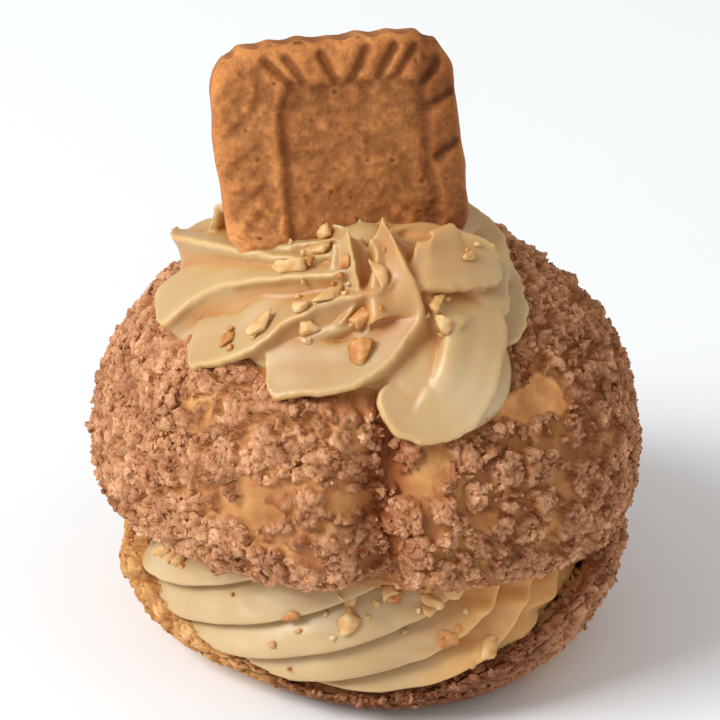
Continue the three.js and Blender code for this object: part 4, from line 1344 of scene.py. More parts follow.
# %% [markdown]
# ## The finished filling
# A painted sheen makes the pleats pale at the left, and a painted light makes them golden at the
# right, where light would shine through their thin edges. Both are painted across the filling,
# besides the folds.

# %% Filling
FILLING_FOLDS = ((30, 0.3), (160, 0.45))
FILLING_SHEEN = 0.32
FILLING_PLAIN_FROM = (-8, 4)
FILLING_PAINTED_LIGHT_FROM = (4, 14)


def make_filling():
    bm = rolled(PLEATS * PLEAT_COLUMNS, FILLING_ROWS, filling_shape)
    across = places_of(bm)[:, 0]
    filling = finished(bm, "piped_filling", FILLING_CREAM, ["cream_filling"])
    paint_folds(filling.data, *FILLING_FOLDS)
    # Painted sheen at the left of the filling and painted light at its right.
    sheen_and_warm_shade = FILLING_SHEEN + (0.5 - FILLING_SHEEN) * ease(across, *FILLING_PLAIN_FROM)
    paint(filling.data, "sheen_and_warm_shade", sheen_and_warm_shade + 0.5 * ease(across, *FILLING_PAINTED_LIGHT_FROM))
    return filling


filling = make_filling()

# %% [markdown]
# ## The base's finish
# The lower half is baked choux: golden and crumbly at the left, darkened at the front by painted
# shade, and covered in brown sugar crumb at the right. Inside the torn rim it is paler, with air
# holes darkened by painted shade. Three painted numbers tell the finish where the crumb is, how much
# painted shade, with a random tone on crumbs, darkens a point, and how brown the crust is there.

# %% Base finish
CHOUX_INSIDE = ((0.3, (0.46, 0.22, 0.075)), (0.55, (0.66, 0.38, 0.15)), (0.75, (0.76, 0.51, 0.23)))
CHOUX_GOLDEN = ((0.3, (0.50, 0.19, 0.048)), (0.5, (0.66, 0.315, 0.10)), (0.7, (0.78, 0.46, 0.20)))
CHOUX_BROWN = ((0.3, (0.40, 0.17, 0.08)), (0.5, (0.58, 0.275, 0.137)), (0.7, (0.76, 0.40, 0.22)))
CHOUX_SHADE_AND_TONE = ((0.0, PLAIN), (1.0, (0.34, 0.22, 0.15)))


def choux_finish():
    material, tree, shader = new_finish("baked_choux")
    inside = ramp(tree, grain(tree, 3, 4.0, 11.0), *CHOUX_INSIDE)
    golden = ramp(tree, grain(tree, 3, 5.0, 12.0), *CHOUX_GOLDEN)
    brown = ramp(tree, grain(tree, 3, 5.0, 14.0), *CHOUX_BROWN)
    outside = mix(tree, painted(tree, "toast_and_shade"), golden, brown)
    colour = mix(tree, painted(tree, "crumb"), inside, outside)
    colour = tinted(tree, colour, ramp(tree, painted(tree, "shade_and_tone"), *CHOUX_SHADE_AND_TONE))
    tree.links.new(colour, shader.inputs["Base Color"])
    shader.inputs["Roughness"].default_value = 0.75
    shader.inputs["Specular IOR Level"].default_value = 0.3
    bumped(tree, shader, grain(tree, 0.5, 4.0, 13.0), 0.25, 0.6)
    return material


CHOUX_FINISH = choux_finish()
print("finish:", CHOUX_FINISH.name)

# %% [markdown]
# ## The base's skin
# The base's profile runs from the foot up the wall, over the torn rim and down into the dish, and is
# rolled round like the filling. A spin of the profile would give a plain dish. Rolling a grid lets
# the rim rise and fall, the crumb lift by the same lump rule as the lid's, and the air holes press
# into the inner wall, all in one skin.

# %% Profile, crumb and holes of the base
FOOT_RADIUS = 23
RIM_START = 0.56
INNER_START = 0.64
BASE_PROFILE = np.array([
    (0.0, 0.0), (FOOT_RADIUS * 0.6, 0.0), (FOOT_RADIUS - 2, 0.0), (FOOT_RADIUS + 2.2, 0.25), (28.6, 1.7),
    (31.2, 3.4), (BASE_RADIUS, 4.6), (31.3, 5.3), (29.6, 5.5), (28, 5.3), (26.9, 4.6), (24.6, 3.6),
    (DISH_FLOOR_RADIUS - 1, DISH_FLOOR), (DISH_FLOOR_RADIUS * 0.5, DISH_FLOOR), (0.0, DISH_FLOOR),
])
# Each hole's azimuth, its height up the inner wall as a share, and its size in millimetres
HOLES = [
    (-22, 0.62, 1.9), (-14, 0.5, 2.3), (-31, 0.5, 1.6), (-6, 0.66, 1.5), (-40, 0.55, 1.2), (6, 0.5, 1.5),
    (18, 0.6, 1.2), (60, 0.55, 1.4), (110, 0.6, 1.5), (150, 0.5, 1.2), (-160, 0.6, 1.0),
]
HOLE_SINK = 0.7
HOLE_EDGE = (0.6, 1.0)
HOLE_DEPTH = 0.9
RIM_OVER = 1.2

# Shares along the profile between which crumb, relief and an upward lift begin and end
CRUMBLY_START = (0.2, 0.34)
CRUMBLY_END = (0.56, 0.63)
RELIEF_START = (0.22, 0.36)
LIFT_START = (0.4, 0.5)
LIFT_END = (0.6, 0.7)
INWARD_LIFT = -0.4
BASE_CRUMB_SIZE = 2.4
BASE_CRUMB_HEIGHT = 0.9
BASE_GRIT_SIZE = 1.1
BASE_GRIT_HEIGHT = 0.4
BASE_SKIN_RELIEF = 0.25
SIDE_FROM = (0.3, 0.9)
RIGHT_FROM = (-0.2, 0.6)
SUNK_FRONT = -1.7
SUNK_LEFT = 0.1
SUNK_RIGHT = -0.9
BASE_CRACK_SHADE = 0.6
BASE_GRIT_SHADE = 0.3
DISH_FRONT_SHADE = 0.8
DARK_FRONT = (0.55, 0.9)
DARK_FROM_LEFT = (-0.6, -0.2)
TOAST_FROM = (-14, 4)
TOAST_RAGGEDNESS = 2


def front_shade(ways):
    """Painted shade, darkest at the foot of the front."""
    return ease(-ways[:, 1], *DARK_FRONT) * ease(ways[:, 0], *DARK_FROM_LEFT)


def plain_base(ways, along):
    """Places of the base without crumb, and which of them are inside the dish."""
    profile = open_spline(BASE_PROFILE, along)
    radius, height = np.maximum(profile[:, 0], 0), profile[:, 1]
    stretch = base_rim(ways[:, 0] * radius, ways[:, 1] * radius) / BASE_RIM
    inner = along > INNER_START
    share = np.clip((height - DISH_FLOOR) / (BASE_RIM - DISH_FLOOR), 0, RIM_OVER)
    height = np.where(inner, blend(DISH_FLOOR, BASE_RIM * stretch, share), height * stretch)
    plain = ways * (radius * base_growth(ways[:, 0], ways[:, 1]))[:, None]
    plain[:, 2] = height
    return plain, inner


def hole_middle(azimuth, level):
    """Middle of an air hole in the inner wall."""
    way = way_at(0, azimuth)
    middle = way * (BASE_RADIUS - BASE_WALL - HOLE_SINK) * base_growth(way[0], way[1])
    middle[2] = blend(DISH_FLOOR, base_rim(middle[0], middle[1]), level)
    return middle


def base_surface(around, along):
    """Places of the base, and its painted numbers there."""
    turn = 2 * math.pi * around
    ways = np.stack([np.cos(turn), np.sin(turn), 0 * turn], axis=1)
    plain, inner = plain_base(ways, along)
    crumbly = ease(along, *CRUMBLY_START) * (1 - ease(along, *CRUMBLY_END))
    ragged = jostled(plain, 0.6, 2.0, 91)
    crumb, crack = lump(ragged, BASE_CRUMB_SIZE, 92)
    grit, grit_crack = lump(ragged, BASE_GRIT_SIZE, 96)
    sides = blend(SUNK_LEFT, SUNK_RIGHT, ease(ways[:, 0], *RIGHT_FROM))
    sunk = blend(SUNK_FRONT, sides, ease(np.abs(ways[:, 0]), *SIDE_FROM))
    lift = crumbly * (BASE_CRUMB_HEIGHT * crumb + BASE_GRIT_HEIGHT * grit + sunk)
    lift = lift + BASE_SKIN_RELIEF * (1 - crumbly) * waviness(plain, 2.0, 99)
    out = ways * np.where(along < RIM_START, 1, INWARD_LIFT)[:, None]
    out[:, 2] = ease(along, *LIFT_START) * (1 - ease(along, *LIFT_END))
    places = plain + out * (lift * ease(along, *RELIEF_START))[:, None]
    # Painted shade in the cracks of the crumb, at the front, and below in the air holes.
    shade_and_tone = crumbly * (BASE_CRACK_SHADE * crack + BASE_GRIT_SHADE * grit_crack)
    shade_and_tone = np.clip(shade_and_tone + DISH_FRONT_SHADE * front_shade(ways), 0, 1)
    for azimuth, level, size in HOLES:
        apart = np.linalg.norm(plain - hole_middle(azimuth, level), axis=1)
        near = np.where(inner, 1 - ease(apart / size, *HOLE_EDGE), 0)
        places += ways * (near * size * HOLE_DEPTH)[:, None]
        shade_and_tone = np.maximum(shade_and_tone, near)
    toast_and_shade = ease(plain[:, 0] + TOAST_RAGGEDNESS * waviness(plain, 5, 104), *TOAST_FROM)
    return places, dict(crumb=crumbly, shade_and_tone=shade_and_tone, toast_and_shade=toast_and_shade)


print("air holes:", len(HOLES))

# %% [markdown]
# ## The base
# The rolled grid carries its painted numbers as vertex layers from the start, because merging the
# seam changes how many points there are, and a layer survives that.

# %% Base dish
BASE_COLUMNS = 440
BASE_ROWS = 150


def make_base():
    bm = bmesh.new()
    bmesh.ops.create_grid(bm, x_segments=BASE_COLUMNS, y_segments=BASE_ROWS, size=0.5)
    flat = places_of(bm) + 0.5
    places, numbers = base_surface(flat[:, 0], flat[:, 1])
    for name, values in numbers.items():
        layer = bm.verts.layers.float.new(name)
        for vert, value in zip(bm.verts, values):
            vert[layer] = value
    move_to(bm, places)
    bmesh.ops.remove_doubles(bm, verts=bm.verts, dist=SEAM)
    finished(bm, "bun_base_dish", CHOUX_FINISH, ["bun_base"])


make_base()

# %% [markdown]
# ## Crumbs on the base
# The base's crust has the same broken bits on it as the lid's. They are scattered over the outer wall
# and the rim, most of them at the right, and joined into one mesh as before. Soft torn bits hang on
# the inner wall at the right, where the halves were pulled apart.

# %% Crumbs on the base's crust
BASE_CRUMBS = 2400
BASE_CRUMB_SIZES = (0.4, 1.5)
BASE_CRUMB_LOWEST = 0.3
BASE_CRUMB_HIGHEST = RIM_START + 0.02
GOLDEN_SIDE_SHARE = 0.3
TORN_BITS = 300
TORN_SIZES = (0.6, 1.8)
TORN_AROUND = (-0.12, 0.1)
TORN_ALONG = (INNER_START - 0.03, INNER_START + 0.16)
CRUMB_FRONT_SHADE = 0.65
STEP_AROUND = 0.002
STEP_ALONG = 0.01


def base_crumbs(draw):
    """Places, normals and sizes of crumbs on the outer wall, and how brown the crust is there."""
    around = draw.uniform(0, 1, BASE_CRUMBS)
    along = draw.uniform(BASE_CRUMB_LOWEST, BASE_CRUMB_HIGHEST, BASE_CRUMBS)
    places, numbers = base_surface(around, along)
    toast_and_shade = numbers["toast_and_shade"]
    aside = base_surface(around + STEP_AROUND, along)[0] - places
    ahead = base_surface(around, along + STEP_ALONG)[0] - places
    normals = unit(np.cross(aside, ahead))
    share = blend(GOLDEN_SIDE_SHARE, 1.0, toast_and_shade)
    kept = draw.uniform(0, 1, BASE_CRUMBS) < share
    smallest, largest = BASE_CRUMB_SIZES
    sizes = smallest + (largest - smallest) * draw.uniform(0, 1, BASE_CRUMBS) ** 2 * share
    return places[kept], normals[kept], sizes[kept], toast_and_shade[kept]


def torn_bits(draw):
    """Places, normals and sizes of soft bits that hang on the inner wall at the right."""
    around = draw.uniform(*TORN_AROUND, TORN_BITS) % 1
    places, _ = base_surface(around, draw.uniform(*TORN_ALONG, TORN_BITS))
    inward = unit(-places * (1, 1, 0))
    return places, inward, draw.uniform(*TORN_SIZES, TORN_BITS)


def make_base_crumbs():
    draw = np.random.default_rng(9)
    middles, normals, sizes, toast_and_shade = base_crumbs(draw)
    inner, inward, inner_sizes = torn_bits(draw)
    crumb = np.concatenate([np.ones(len(middles)), np.zeros(len(inner))])
    middles, normals = np.concatenate([middles, inner]), np.concatenate([normals, inward])
    sizes, toast_and_shade = np.concatenate([sizes, inner_sizes]), np.concatenate([toast_and_shade, np.zeros(len(inner))])
    kinds = broken_lumps(14, 10)
    # Painted shade on the crumbs at the front.
    shade = CRUMB_FRONT_SHADE * front_shade(unit(middles * (1, 1, 0)))
    mesh = joined_lumps("base_crumbs", kinds, middles, normals, sizes, draw, crumb, shade)
    counts = [len(kinds[number % LUMP_KINDS][0]) for number in range(len(middles))]
    paint(mesh, "toast_and_shade", np.repeat(toast_and_shade, counts))
    placed(mesh, "base_crumbs", CHOUX_FINISH, smooth=False)


make_base_crumbs()

# %% [markdown]
# ## The biscuit's finish
# A caramel biscuit is an even reddish brown with fine pores. A painted highlight makes it a little
# lighter where edges stand out and painted shade makes it darker in its grooves, by the same fold
# number as on the cream, and a second number paints shade on the right border and light on the left.

# %% Biscuit finish
BISCUIT_BROWN = ((0.3, (0.275, 0.095, 0.025)), (0.5, (0.35, 0.128, 0.036)), (0.7, (0.44, 0.176, 0.055)))
BISCUIT_SPECKS = ((0.3, (0.66, 0.58, 0.5)), (0.55, PLAIN), (0.8, (1.25, 1.22, 1.15)))
BISCUIT_EDGE_LIGHT_GROOVE_SHADE = ((0.2, (1.6, 1.62, 1.62)), (0.5, PLAIN), (0.75, (0.76, 0.66, 0.56)))
BISCUIT_SIDE_SHADE = ((0.0, (1.06, 1.07, 1.09)), (0.25, PLAIN), (1.0, (0.57, 0.5, 0.43)))


def biscuit_finish():
    material, tree, shader = new_finish("caramel_biscuit")
    baked = ramp(tree, grain(tree, 5, 5.0, 21.0), *BISCUIT_BROWN)
    colour = tinted(tree, baked, ramp(tree, grain(tree, 0.5, 3.0, 22.0), *BISCUIT_SPECKS), 0.6)
    # Painted highlight on edges that stand out and painted shade in the grooves.
    colour = tinted(tree, colour, ramp(tree, painted(tree, "fold"), *BISCUIT_EDGE_LIGHT_GROOVE_SHADE))
    # Painted shade on the right border and painted light on the left one.
    colour = tinted(tree, colour, ramp(tree, painted(tree, "toast_and_shade"), *BISCUIT_SIDE_SHADE))
    tree.links.new(colour, shader.inputs["Base Color"])
    shader.inputs["Roughness"].default_value = 0.75
    shader.inputs["Specular IOR Level"].default_value = 0.25
    bumped(tree, shader, grain(tree, 0.5, 4.0, 23.0), 0.25, 0.6)
    return material


BISCUIT_FINISH = biscuit_finish()
print("finish:", BISCUIT_FINISH.name)

# %% [markdown]
# ## The biscuit's outline and grooves
# The biscuit is a thick little plate with rounded corners and a fan of grooves pressed into its border
# round a sunk panel. Both the outline and the panel are rounded rectangles, so one distance rule
# serves them. A groove is a short line with soft ends, and the deepest groove at a point counts.

# %% Outline and grooves of the biscuit
BISCUIT_WIDTH = 29.4
BISCUIT_HEIGHT = 28
BISCUIT_CORNER = 6
CRIMP_HALF_WIDTH = 0.69
CRIMP_DEEPENING = 1.25
CRIMP_START = (-0.8, 0.6)
CRIMP_RUNOUT = 1.5
OUTLINE_ROUNDS = 24

# Inner end, outer end and depth of each groove on the front, seen from the front
CRIMPS = [
    ((-4.5, 8.8), (-7.5, 11.8), 0.6), ((-3.3, 8.8), (-5.2, 12.2), 0.6), ((0.5, 8.8), (-1, 12.2), 0.7),
    ((2, 8.8), (4.2, 12.4), 0.7), ((5.3, 8.8), (7.6, 12.4), 0.7), ((7, 8.1), (10, 12), 0.7),
    ((9.7, 6.7), (12.6, 9.8), 0.7), ((10.7, 4.4), (13.6, 6.1), 0.6), ((11, -1.8), (13.8, 0), 0.6),
    ((-9.2, 6.8), (-13, 3.4), 0.22), ((-9.2, 2.2), (-13.4, -1.2), 0.22), ((-9.4, -3), (-13.4, -6.4), 0.22),
]


def box_distance(x, z, width, height, corner):
    """Distance outside a rounded rectangle, and less than 0 inside."""
    over_x = np.abs(x) - width / 2 + corner
    over_z = np.abs(z) - height / 2 + corner
    outside = np.hypot(np.maximum(over_x, 0), np.maximum(over_z, 0))
    return outside + np.minimum(np.maximum(over_x, over_z), 0) - corner


def from_outline(x, z):
    return box_distance(x, z, BISCUIT_WIDTH, BISCUIT_HEIGHT, BISCUIT_CORNER)


def to_outline(x, z):
    """How far a ray from the middle through a point runs to the outline, in multiples of the point."""
    low, high = np.full(len(x), 0.3), np.full(len(x), 1.2)
    for _ in range(OUTLINE_ROUNDS):
        middle = (low + high) / 2
        outside = from_outline(x * middle, z * middle) > 0
        low, high = np.where(outside, low, middle), np.where(outside, middle, high)
    return low


def crimped(x, z):
    """Depth of the grooves at points of the front."""
    deepest = np.zeros(len(x))
    for inner, outer, depth in CRIMPS:
        start, run = np.array(inner), np.subtract(outer, inner)
        length = np.linalg.norm(run)
        along = ((x - start[0]) * run[0] + (z - start[1]) * run[1]) / length
        across = ((x - start[0]) * run[1] - (z - start[1]) * run[0]) / length
        ends = ease(along, *CRIMP_START) * (1 - ease(along, length, length + CRIMP_RUNOUT))
        hollow = np.exp(-((across / CRIMP_HALF_WIDTH) ** 2))
        deepest = np.maximum(deepest, CRIMP_DEEPENING * depth * ends * hollow)
    return deepest


print("grooves:", len(CRIMPS))

# %% [markdown]
# ## The biscuit
# A cube is cut finely and its points are moved: the outline is rounded and scalloped, the edges are
# softened, and the grooves, the panel and the pores are pressed in. Starting from one closed cube
# keeps front, back and edges in one skin, which bevels and Booleans would cut up.

# %% Biscuit plate
BISCUIT_MIDDLE = Vector((-7.2, -7, 68.0))
BISCUIT_LEAN_BACK = math.radians(-12)
BISCUIT_LEAN_LEFT = math.radians(-8)
BISCUIT_TURN = math.radians(9)
BISCUIT_THICKNESS = 6
BISCUIT_TAPER = 0.045
BISCUIT_NARROWING = 0.09
BISCUIT_CUTS = 120
BISCUIT_FOLDS = ((14, 0.16), (60, 0.35))
SCALLOP_PITCH = 3.6
SCALLOP_DEPTH = 0.16
SCALLOP_TOP = (8, 13)
OUTLINE_WAVINESS = 0.012
EDGE_SOFTNESS = 2.2
EDGE_FALL = 1.3
PANEL_WIDTH = 18
PANEL_HEIGHT = 21
PANEL_CORNER = 3
PANEL_MIDDLE = (2, -1.6)
PANEL_DEPTH = 0.9
PANEL_RAGGEDNESS = 0.3
PANEL_SLOPE = 0.7
BORDER_SLOPE = 0.6
CROWN_LEFT = 1.4
CROWN_RIGHT = 1.9
# Size, height and seed of each layer of roughness, the middle one rougher at the left
BROAD_ROUGH = (3.4, 0.2, 101)
MIDDLE_ROUGH = (1.3, 0.16, 102)
FINE_ROUGH = (0.6, 0.07, 107)
LEFT_ROUGHER = 0.3
LEFT_BORDER = (7, 11)
PORE_SPACING = 1.5
PORE_DEPTH = 0.3
PORE_EDGE = (0.1, 0.22)
PORE_RARITY = (0.62, 0.95)
# Where shade is painted on the right border and light on the left one.
SHADE_RIGHT = (0.55, 0.8)
SHADE_RIM = (0.95, 1)
SHADE_RIM_LOSS = 0.6
SHADE_WAVE = 0.08
LIT_LEFT = (0.5, 0.75)
PLAIN_SHADE = 0.25

biscuit_place = (Matrix.Translation(BISCUIT_MIDDLE) @ Matrix.Rotation(BISCUIT_LEAN_LEFT, 4, "Y")
                 @ Matrix.Rotation(BISCUIT_LEAN_BACK, 4, "X") @ Matrix.Rotation(BISCUIT_TURN, 4, "Z"))


def roughness(points, layer):
    size, height, seed = layer
    return height * waviness(points, size, seed)


def biscuit_shape(cube):
    """Places for the points of a cube from -1 to 1: X across, Y through and Z up."""
    x, y, z = (cube * (BISCUIT_WIDTH / 2, 1, BISCUIT_HEIGHT / 2)).T
    shell = np.maximum(np.abs(cube[:, 0]), np.abs(cube[:, 2]))
    fit = to_outline(x / np.maximum(shell, 1e-6), z / np.maximum(shell, 1e-6))
    fit = blend(1, fit, shell ** 2)
    flat = np.stack([x, 0 * x, z], axis=1)
    scallop = SCALLOP_DEPTH * np.cos(2 * math.pi * x / SCALLOP_PITCH) * ease(z, *SCALLOP_TOP)
    wave = OUTLINE_WAVINESS * waviness(flat, 3, 103)
    uneven = 1 + (wave + scallop / BISCUIT_HEIGHT * 2) * shell ** 4
    x, z = x * fit * uneven, z * fit * uneven
    edge = np.clip(-from_outline(x, z) / EDGE_SOFTNESS, 0, 1)
    soft = np.sqrt(np.clip(1 - (1 - edge) ** 2, 0, 1))
    half = BISCUIT_THICKNESS / 2 - EDGE_FALL * (1 - soft)
    panel_x, panel_z = x - PANEL_MIDDLE[0], z - PANEL_MIDDLE[1]
    panel = -box_distance(panel_x, panel_z, PANEL_WIDTH, PANEL_HEIGHT, PANEL_CORNER)
    ragged = panel + PANEL_RAGGEDNESS * waviness(flat, 2.2, 105)
    sunk = PANEL_DEPTH * ease(ragged, -PANEL_SLOPE, PANEL_SLOPE)
    border = ease(-panel, -BORDER_SLOPE, BORDER_SLOPE)
    rough = roughness(flat, BROAD_ROUGH)
    rough = rough + roughness(flat, MIDDLE_ROUGH) * (1 + LEFT_ROUGHER * ease(-x, *LEFT_BORDER))
    rough += roughness(flat, FINE_ROUGH)
    near, _, tone = cobbles(flat, PORE_SPACING, 106)
    pores = PORE_DEPTH * (1 - ease(near, *PORE_EDGE)) * ease(tone, *PORE_RARITY)
    crown = np.where(x > 0, CROWN_RIGHT, CROWN_LEFT) * (2 * x / BISCUIT_WIDTH) ** 2
    front = (1 - y) / 2
    depth = y * (half + rough - pores) + front * (sunk + crown + border * crimped(x, z))
    wider = x + BISCUIT_TAPER * np.maximum(x, 0) / (BISCUIT_WIDTH / 2) * (BISCUIT_HEIGHT / 2 - z)
    wider += BISCUIT_NARROWING * np.minimum(x, 0) / (BISCUIT_WIDTH / 2) * np.minimum(z, 0)
    return np.stack([wider, depth, z], axis=1)


def biscuit_side_shade(cube):
    """0 on the left border, where light is painted, a quarter on the panel, and up to 1 on the right
    border, where shade is painted.
    """
    across = cube[:, 0]
    toast_and_shade = ease(across + SHADE_WAVE * waviness(cube, 0.2, 108), *SHADE_RIGHT)
    toast_and_shade = toast_and_shade * (1 - SHADE_RIM_LOSS * ease(across, *SHADE_RIM))
    return PLAIN_SHADE + (1 - PLAIN_SHADE) * toast_and_shade - PLAIN_SHADE * ease(-across, *LIT_LEFT)


def make_biscuit():
    bm = bmesh.new()
    bmesh.ops.create_cube(bm, size=2)
    bmesh.ops.subdivide_edges(bm, edges=bm.edges, cuts=BISCUIT_CUTS, use_grid_fill=True)
    cube = places_of(bm)
    move_to(bm, placed_points(biscuit_shape(cube), biscuit_place))
    biscuit = finished(bm, "crimped_biscuit", BISCUIT_FINISH, ["biscuit"])
    paint_folds(biscuit.data, *BISCUIT_FOLDS)
    # Painted shade on the right border and painted light on the left one.
    paint(biscuit.data, "toast_and_shade", biscuit_side_shade(cube))


make_biscuit()

# %% [markdown]
# ## The nuts' finishes
# Some of the chopped nuts are pale inside pieces and some are toasted skins. Both are a little
# see-through at their thin edges, so they get a touch of subsurface light, and a ramp of close
# colours keeps each piece a bit different.

# %% Nut finishes
def nut_finish(name, dark, middle, light, seed):
    material, tree, shader = new_finish(name)
    colour = ramp(tree, grain(tree, 1.6, 3.0, seed), (0.32, dark), (0.5, middle), (0.68, light))
    tree.links.new(colour, shader.inputs["Base Color"])
    shader.inputs["Roughness"].default_value = 0.5
    shader.inputs["Subsurface Weight"].default_value = 0.15
    shader.inputs["Subsurface Radius"].default_value = (1.0, 0.6, 0.3)
    shader.inputs["Subsurface Scale"].default_value = MM
    bumped(tree, shader, grain(tree, 0.4, 3.0, seed + 1), 0.1, 0.5)
    return material


PALE_NUT = nut_finish("pale_nut", (0.60, 0.30, 0.09), (0.70, 0.41, 0.155), (0.80, 0.57, 0.30), 31.0)
TOASTED_NUT = nut_finish("toasted_nut", (0.42, 0.14, 0.028), (0.58, 0.235, 0.06), (0.68, 0.36, 0.13), 33.0)
print("finishes:", PALE_NUT.name, TOASTED_NUT.name)

# %% [markdown]
# ## Where the nuts lie
# Each nut lies where the photograph shows it. The line of sight through its pixel is followed to the
# cream, and the place and the normal found there are what the nut is set on, so that it rests on the
# cream from any side.

# %% Places of the nuts
# Pixel of each nut's middle, its length, width and height in millimetres, and its turn in degrees
PALE_NUTS = [
    (263, 324, 4.2, 2.6, 1.7, 40), (309, 329, 2.8, 2.2, 1.2, 10), (303, 308, 2.2, 2.0, 1.4, 60),
    (330, 297, 4.4, 2.2, 1.5, 15), (381, 276, 4.2, 1.7, 1.4, -60), (328, 228, 2.6, 2.2, 2.4, 80),
    (276, 243, 3.0, 2.4, 2.2, 20), (288, 236, 2.4, 2.0, 2.2, 70), (296, 262, 4.6, 3.0, 1.8, 30),
    (318, 252, 3.0, 2.0, 1.6, 10), (437, 303, 2.8, 1.8, 1.4, 70), (443, 324, 2.6, 1.8, 1.3, -50),
    (470, 257, 2.2, 1.2, 0.8, 30), (148, 530, 3.6, 2.4, 1.8, -30), (165, 550, 3.2, 2.2, 1.8, -50),
    (352, 600, 3.0, 2.0, 1.8, 70), (347, 622, 3.4, 2.6, 1.5, 50), (388, 592, 2.4, 2.2, 1.8, 0),
    (433, 604, 3.4, 1.7, 1.4, -35), (427, 611, 1.8, 1.6, 1.2, 0), (452, 588, 3.0, 2.9, 1.8, 10),
    (489, 650, 3.2, 2.4, 1.6, 60), (183, 560, 2.6, 2.0, 1.4, 20),
]
TOASTED_NUTS = [
    (228, 340, 2.6, 1.8, 1.2, 60), (360, 319, 3.2, 2.4, 1.6, 10), (361, 348, 3.6, 2.8, 1.6, 70),
    (346, 262, 2.0, 1.6, 1.0, 80), (175, 556, 3.2, 1.6, 1.2, 30), (222, 569, 2.4, 2.0, 1.4, 0),
    (290, 617, 2.4, 1.8, 0.7, 30), (272, 645, 1.2, 1.0, 0.6, 0), (447, 640, 2.8, 2.4, 0.7, 0),
    (308, 260, 1.6, 1.4, 1.0, 40), (392, 597, 2.4, 2.0, 1.6, 20),
]

cream_bodies = [rosette_body, body_of(filling)]


def sight(x, y):
    """Direction in which the camera sees a pixel of the image."""
    across = (x - IMAGE_SIDE / 2) / PIXELS_PER_MM
    rise = (IMAGE_SIDE / 2 - y) / PIXELS_PER_MM
    return (camera_right * across + camera_up * rise - camera_back * CAMERA_DISTANCE).normalized()


def met(start, way):
    """Where a line first meets cream, and the cream's normal there."""
    found = [body.ray_cast(start * MM, way) for body in cream_bodies]
    found = [hit for hit in found if hit[0] is not None]
    if not found:
        return None
    place, normal, _, _ = min(found, key=lambda hit: hit[3])
    return place / MM, normal


print("nuts:", len(PALE_NUTS), "pale and", len(TOASTED_NUTS), "toasted")

# %% [markdown]
# ## Chopped nuts
# Chopped nuts have flat broken faces and sharp corners, and a ball cut by a few planes gives just
# that. A cube with random bevels would look too regular. Each nut is laid along its normal, a little
# sunk in the cream, and small fragments lie round it.

# %% Chop and place the nuts
NUT_CUTS = 10
NUT_CUT_AT = (0.4, 0.75)
NUT_SOFTENING = 0.4
NUT_RELIEF = 0.12
NUT_RISE = 0.25
FRAGMENTS = 2
FRAGMENT_SPREAD = 2.5
FRAGMENT_SIZES = (0.5, 1.2)


def chopped(length, width, height, draw):
    """A ball cut by planes into a chunk of the given size."""
    bm = bmesh.new()
    bmesh.ops.create_icosphere(bm, subdivisions=2, radius=1)
    for _ in range(NUT_CUTS):
        side = Vector(unit(draw.normal(size=3)))
        geometry = bm.verts[:] + bm.edges[:] + bm.faces[:]
        cut_at = side * draw.uniform(*NUT_CUT_AT)
        bmesh.ops.bisect_plane(bm, geom=geometry, plane_co=cut_at, plane_no=side, clear_outer=True)
        bmesh.ops.holes_fill(bm, edges=open_edges(bm), sides=0)
    bmesh.ops.triangulate(bm, faces=bm.faces)
    bmesh.ops.subdivide_edges(bm, edges=bm.edges, cuts=1)
    axes = dict(use_axis_x=True, use_axis_y=True, use_axis_z=True)
    bmesh.ops.smooth_vert(bm, verts=bm.verts, factor=NUT_SOFTENING, **axes)
    points = places_of(bm)
    points *= (1 + NUT_RELIEF * waviness(points + length * 7, 0.4, 111))[:, None]
    extent = points.max(0) - points.min(0)
    move_to(bm, points / extent * (length, width, height))
    return bm


def laid(place, normal, size, turn, draw):
    """One nut lying on the cream at a place."""
    bm = chopped(*size, draw)
    along = camera_right * math.cos(turn) + camera_up * math.sin(turn)
    along = (along - normal * along.dot(normal)).normalized()
    lying = Matrix((along, normal.cross(along), normal)).transposed().to_4x4()
    middle = Matrix.Translation(place + normal * NUT_RISE * size[2])
    bmesh.ops.transform(bm, matrix=middle @ lying, verts=bm.verts)
    return bm


def make_nuts(name, nuts, material, seed):
    draw = np.random.default_rng(seed)
    parts = []
    for x, y, length, width, height, turn in nuts:
        place, normal = met(camera_eye, sight(x, y))
        parts.append(laid(place, normal, (length, width, height), math.radians(turn), draw))
        for _ in range(FRAGMENTS):
            above = place + normal * FRAGMENT_SPREAD + Vector(draw.uniform(-1, 1, 3)) * FRAGMENT_SPREAD
            found = met(above, -normal)
            if found and (found[0] - place).length < 2 * FRAGMENT_SPREAD:
                size = draw.uniform(*FRAGMENT_SIZES, 3)
                parts.append(laid(*found, size, draw.uniform(0, math.pi), draw))
    finished(joined(parts), name, material)


make_nuts("chopped_nuts_pale", PALE_NUTS, PALE_NUT, 12)
make_nuts("chopped_nuts_toasted", TOASTED_NUTS, TOASTED_NUT, 13)

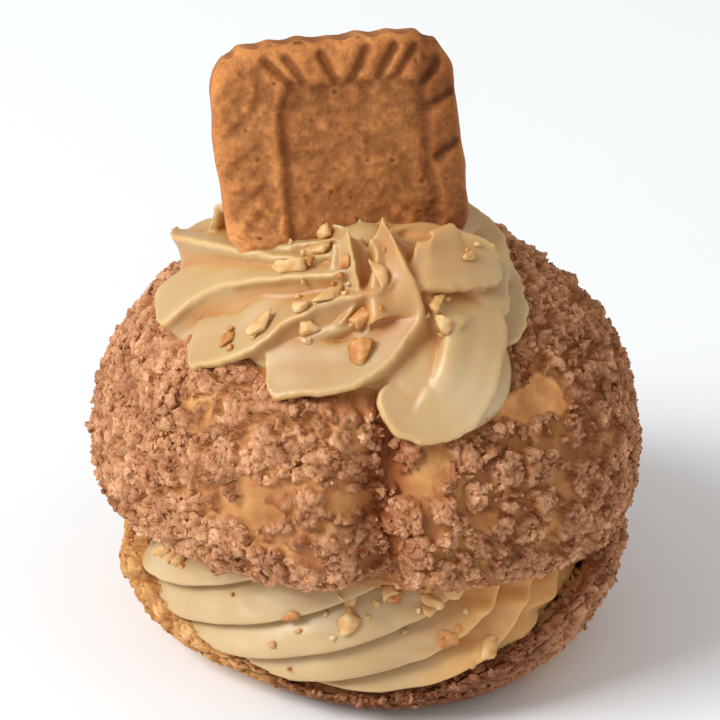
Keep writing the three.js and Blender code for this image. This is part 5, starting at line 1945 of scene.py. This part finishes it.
# %% [markdown]
# ## Floor and light
# The bun stands on a plain pale floor in soft studio light. One large lamp from the left gives the
# shading and the soft shadow to the right, and a white world fills the rest. The floor is stage, so
# it isn't part of the bun.

# %% Floor, lamp and world
FLOOR_SIDE = 3.0
FLOOR_TONES = ((0.3, (0.92, 0.94, 0.985)), (0.7, (0.93, 0.95, 0.995)))
KEY_PLACE = Vector((-1.2, -0.62, 1.15))
KEY_SIZE = 0.8
KEY_POWER = 28.5
KEY_COLOUR = (0.955, 1.0, 0.99)
FILL_STRENGTH = 0.56
FILL_COLOUR = (1.0, 0.97, 0.92, 1)


def make_floor():
    bm = bmesh.new()
    bmesh.ops.create_grid(bm, x_segments=1, y_segments=1, size=FLOOR_SIDE / 2)
    mesh = bpy.data.meshes.new("floor")
    bm.to_mesh(mesh)
    bm.free()
    material, tree, shader = new_finish("pale_floor")
    colour = ramp(tree, grain(tree, 60, 2.0, 41.0), *FLOOR_TONES)
    tree.links.new(colour, shader.inputs["Base Color"])
    shader.inputs["Roughness"].default_value = 0.9
    mesh.materials.append(material)
    floor = bpy.data.objects.new("floor", mesh)
    bpy.context.scene.collection.objects.link(floor)


def make_light():
    lamp = bpy.data.lights.new("key_lamp", "AREA")
    lamp.energy = KEY_POWER
    lamp.size = KEY_SIZE
    lamp.color = KEY_COLOUR
    key = bpy.data.objects.new("key_lamp", lamp)
    key.location = KEY_PLACE
    key.rotation_euler = (CAMERA_TARGET * MM - KEY_PLACE).to_track_quat("-Z", "Y").to_euler()
    bpy.context.scene.collection.objects.link(key)
    world = bpy.data.worlds.new("soft_fill")
    world.use_nodes = True
    background = world.node_tree.nodes["Background"]
    background.inputs["Color"].default_value = FILL_COLOUR
    background.inputs["Strength"].default_value = FILL_STRENGTH
    bpy.context.scene.world = world
    bpy.context.scene.view_settings.view_transform = "Standard"


make_floor()
make_light()
print("key lamp:", KEY_POWER, "W")

# %% [markdown]
# ## The end
# The bun is finished, and every piece rides on its one body.

# %% The end
print("the bun is built")
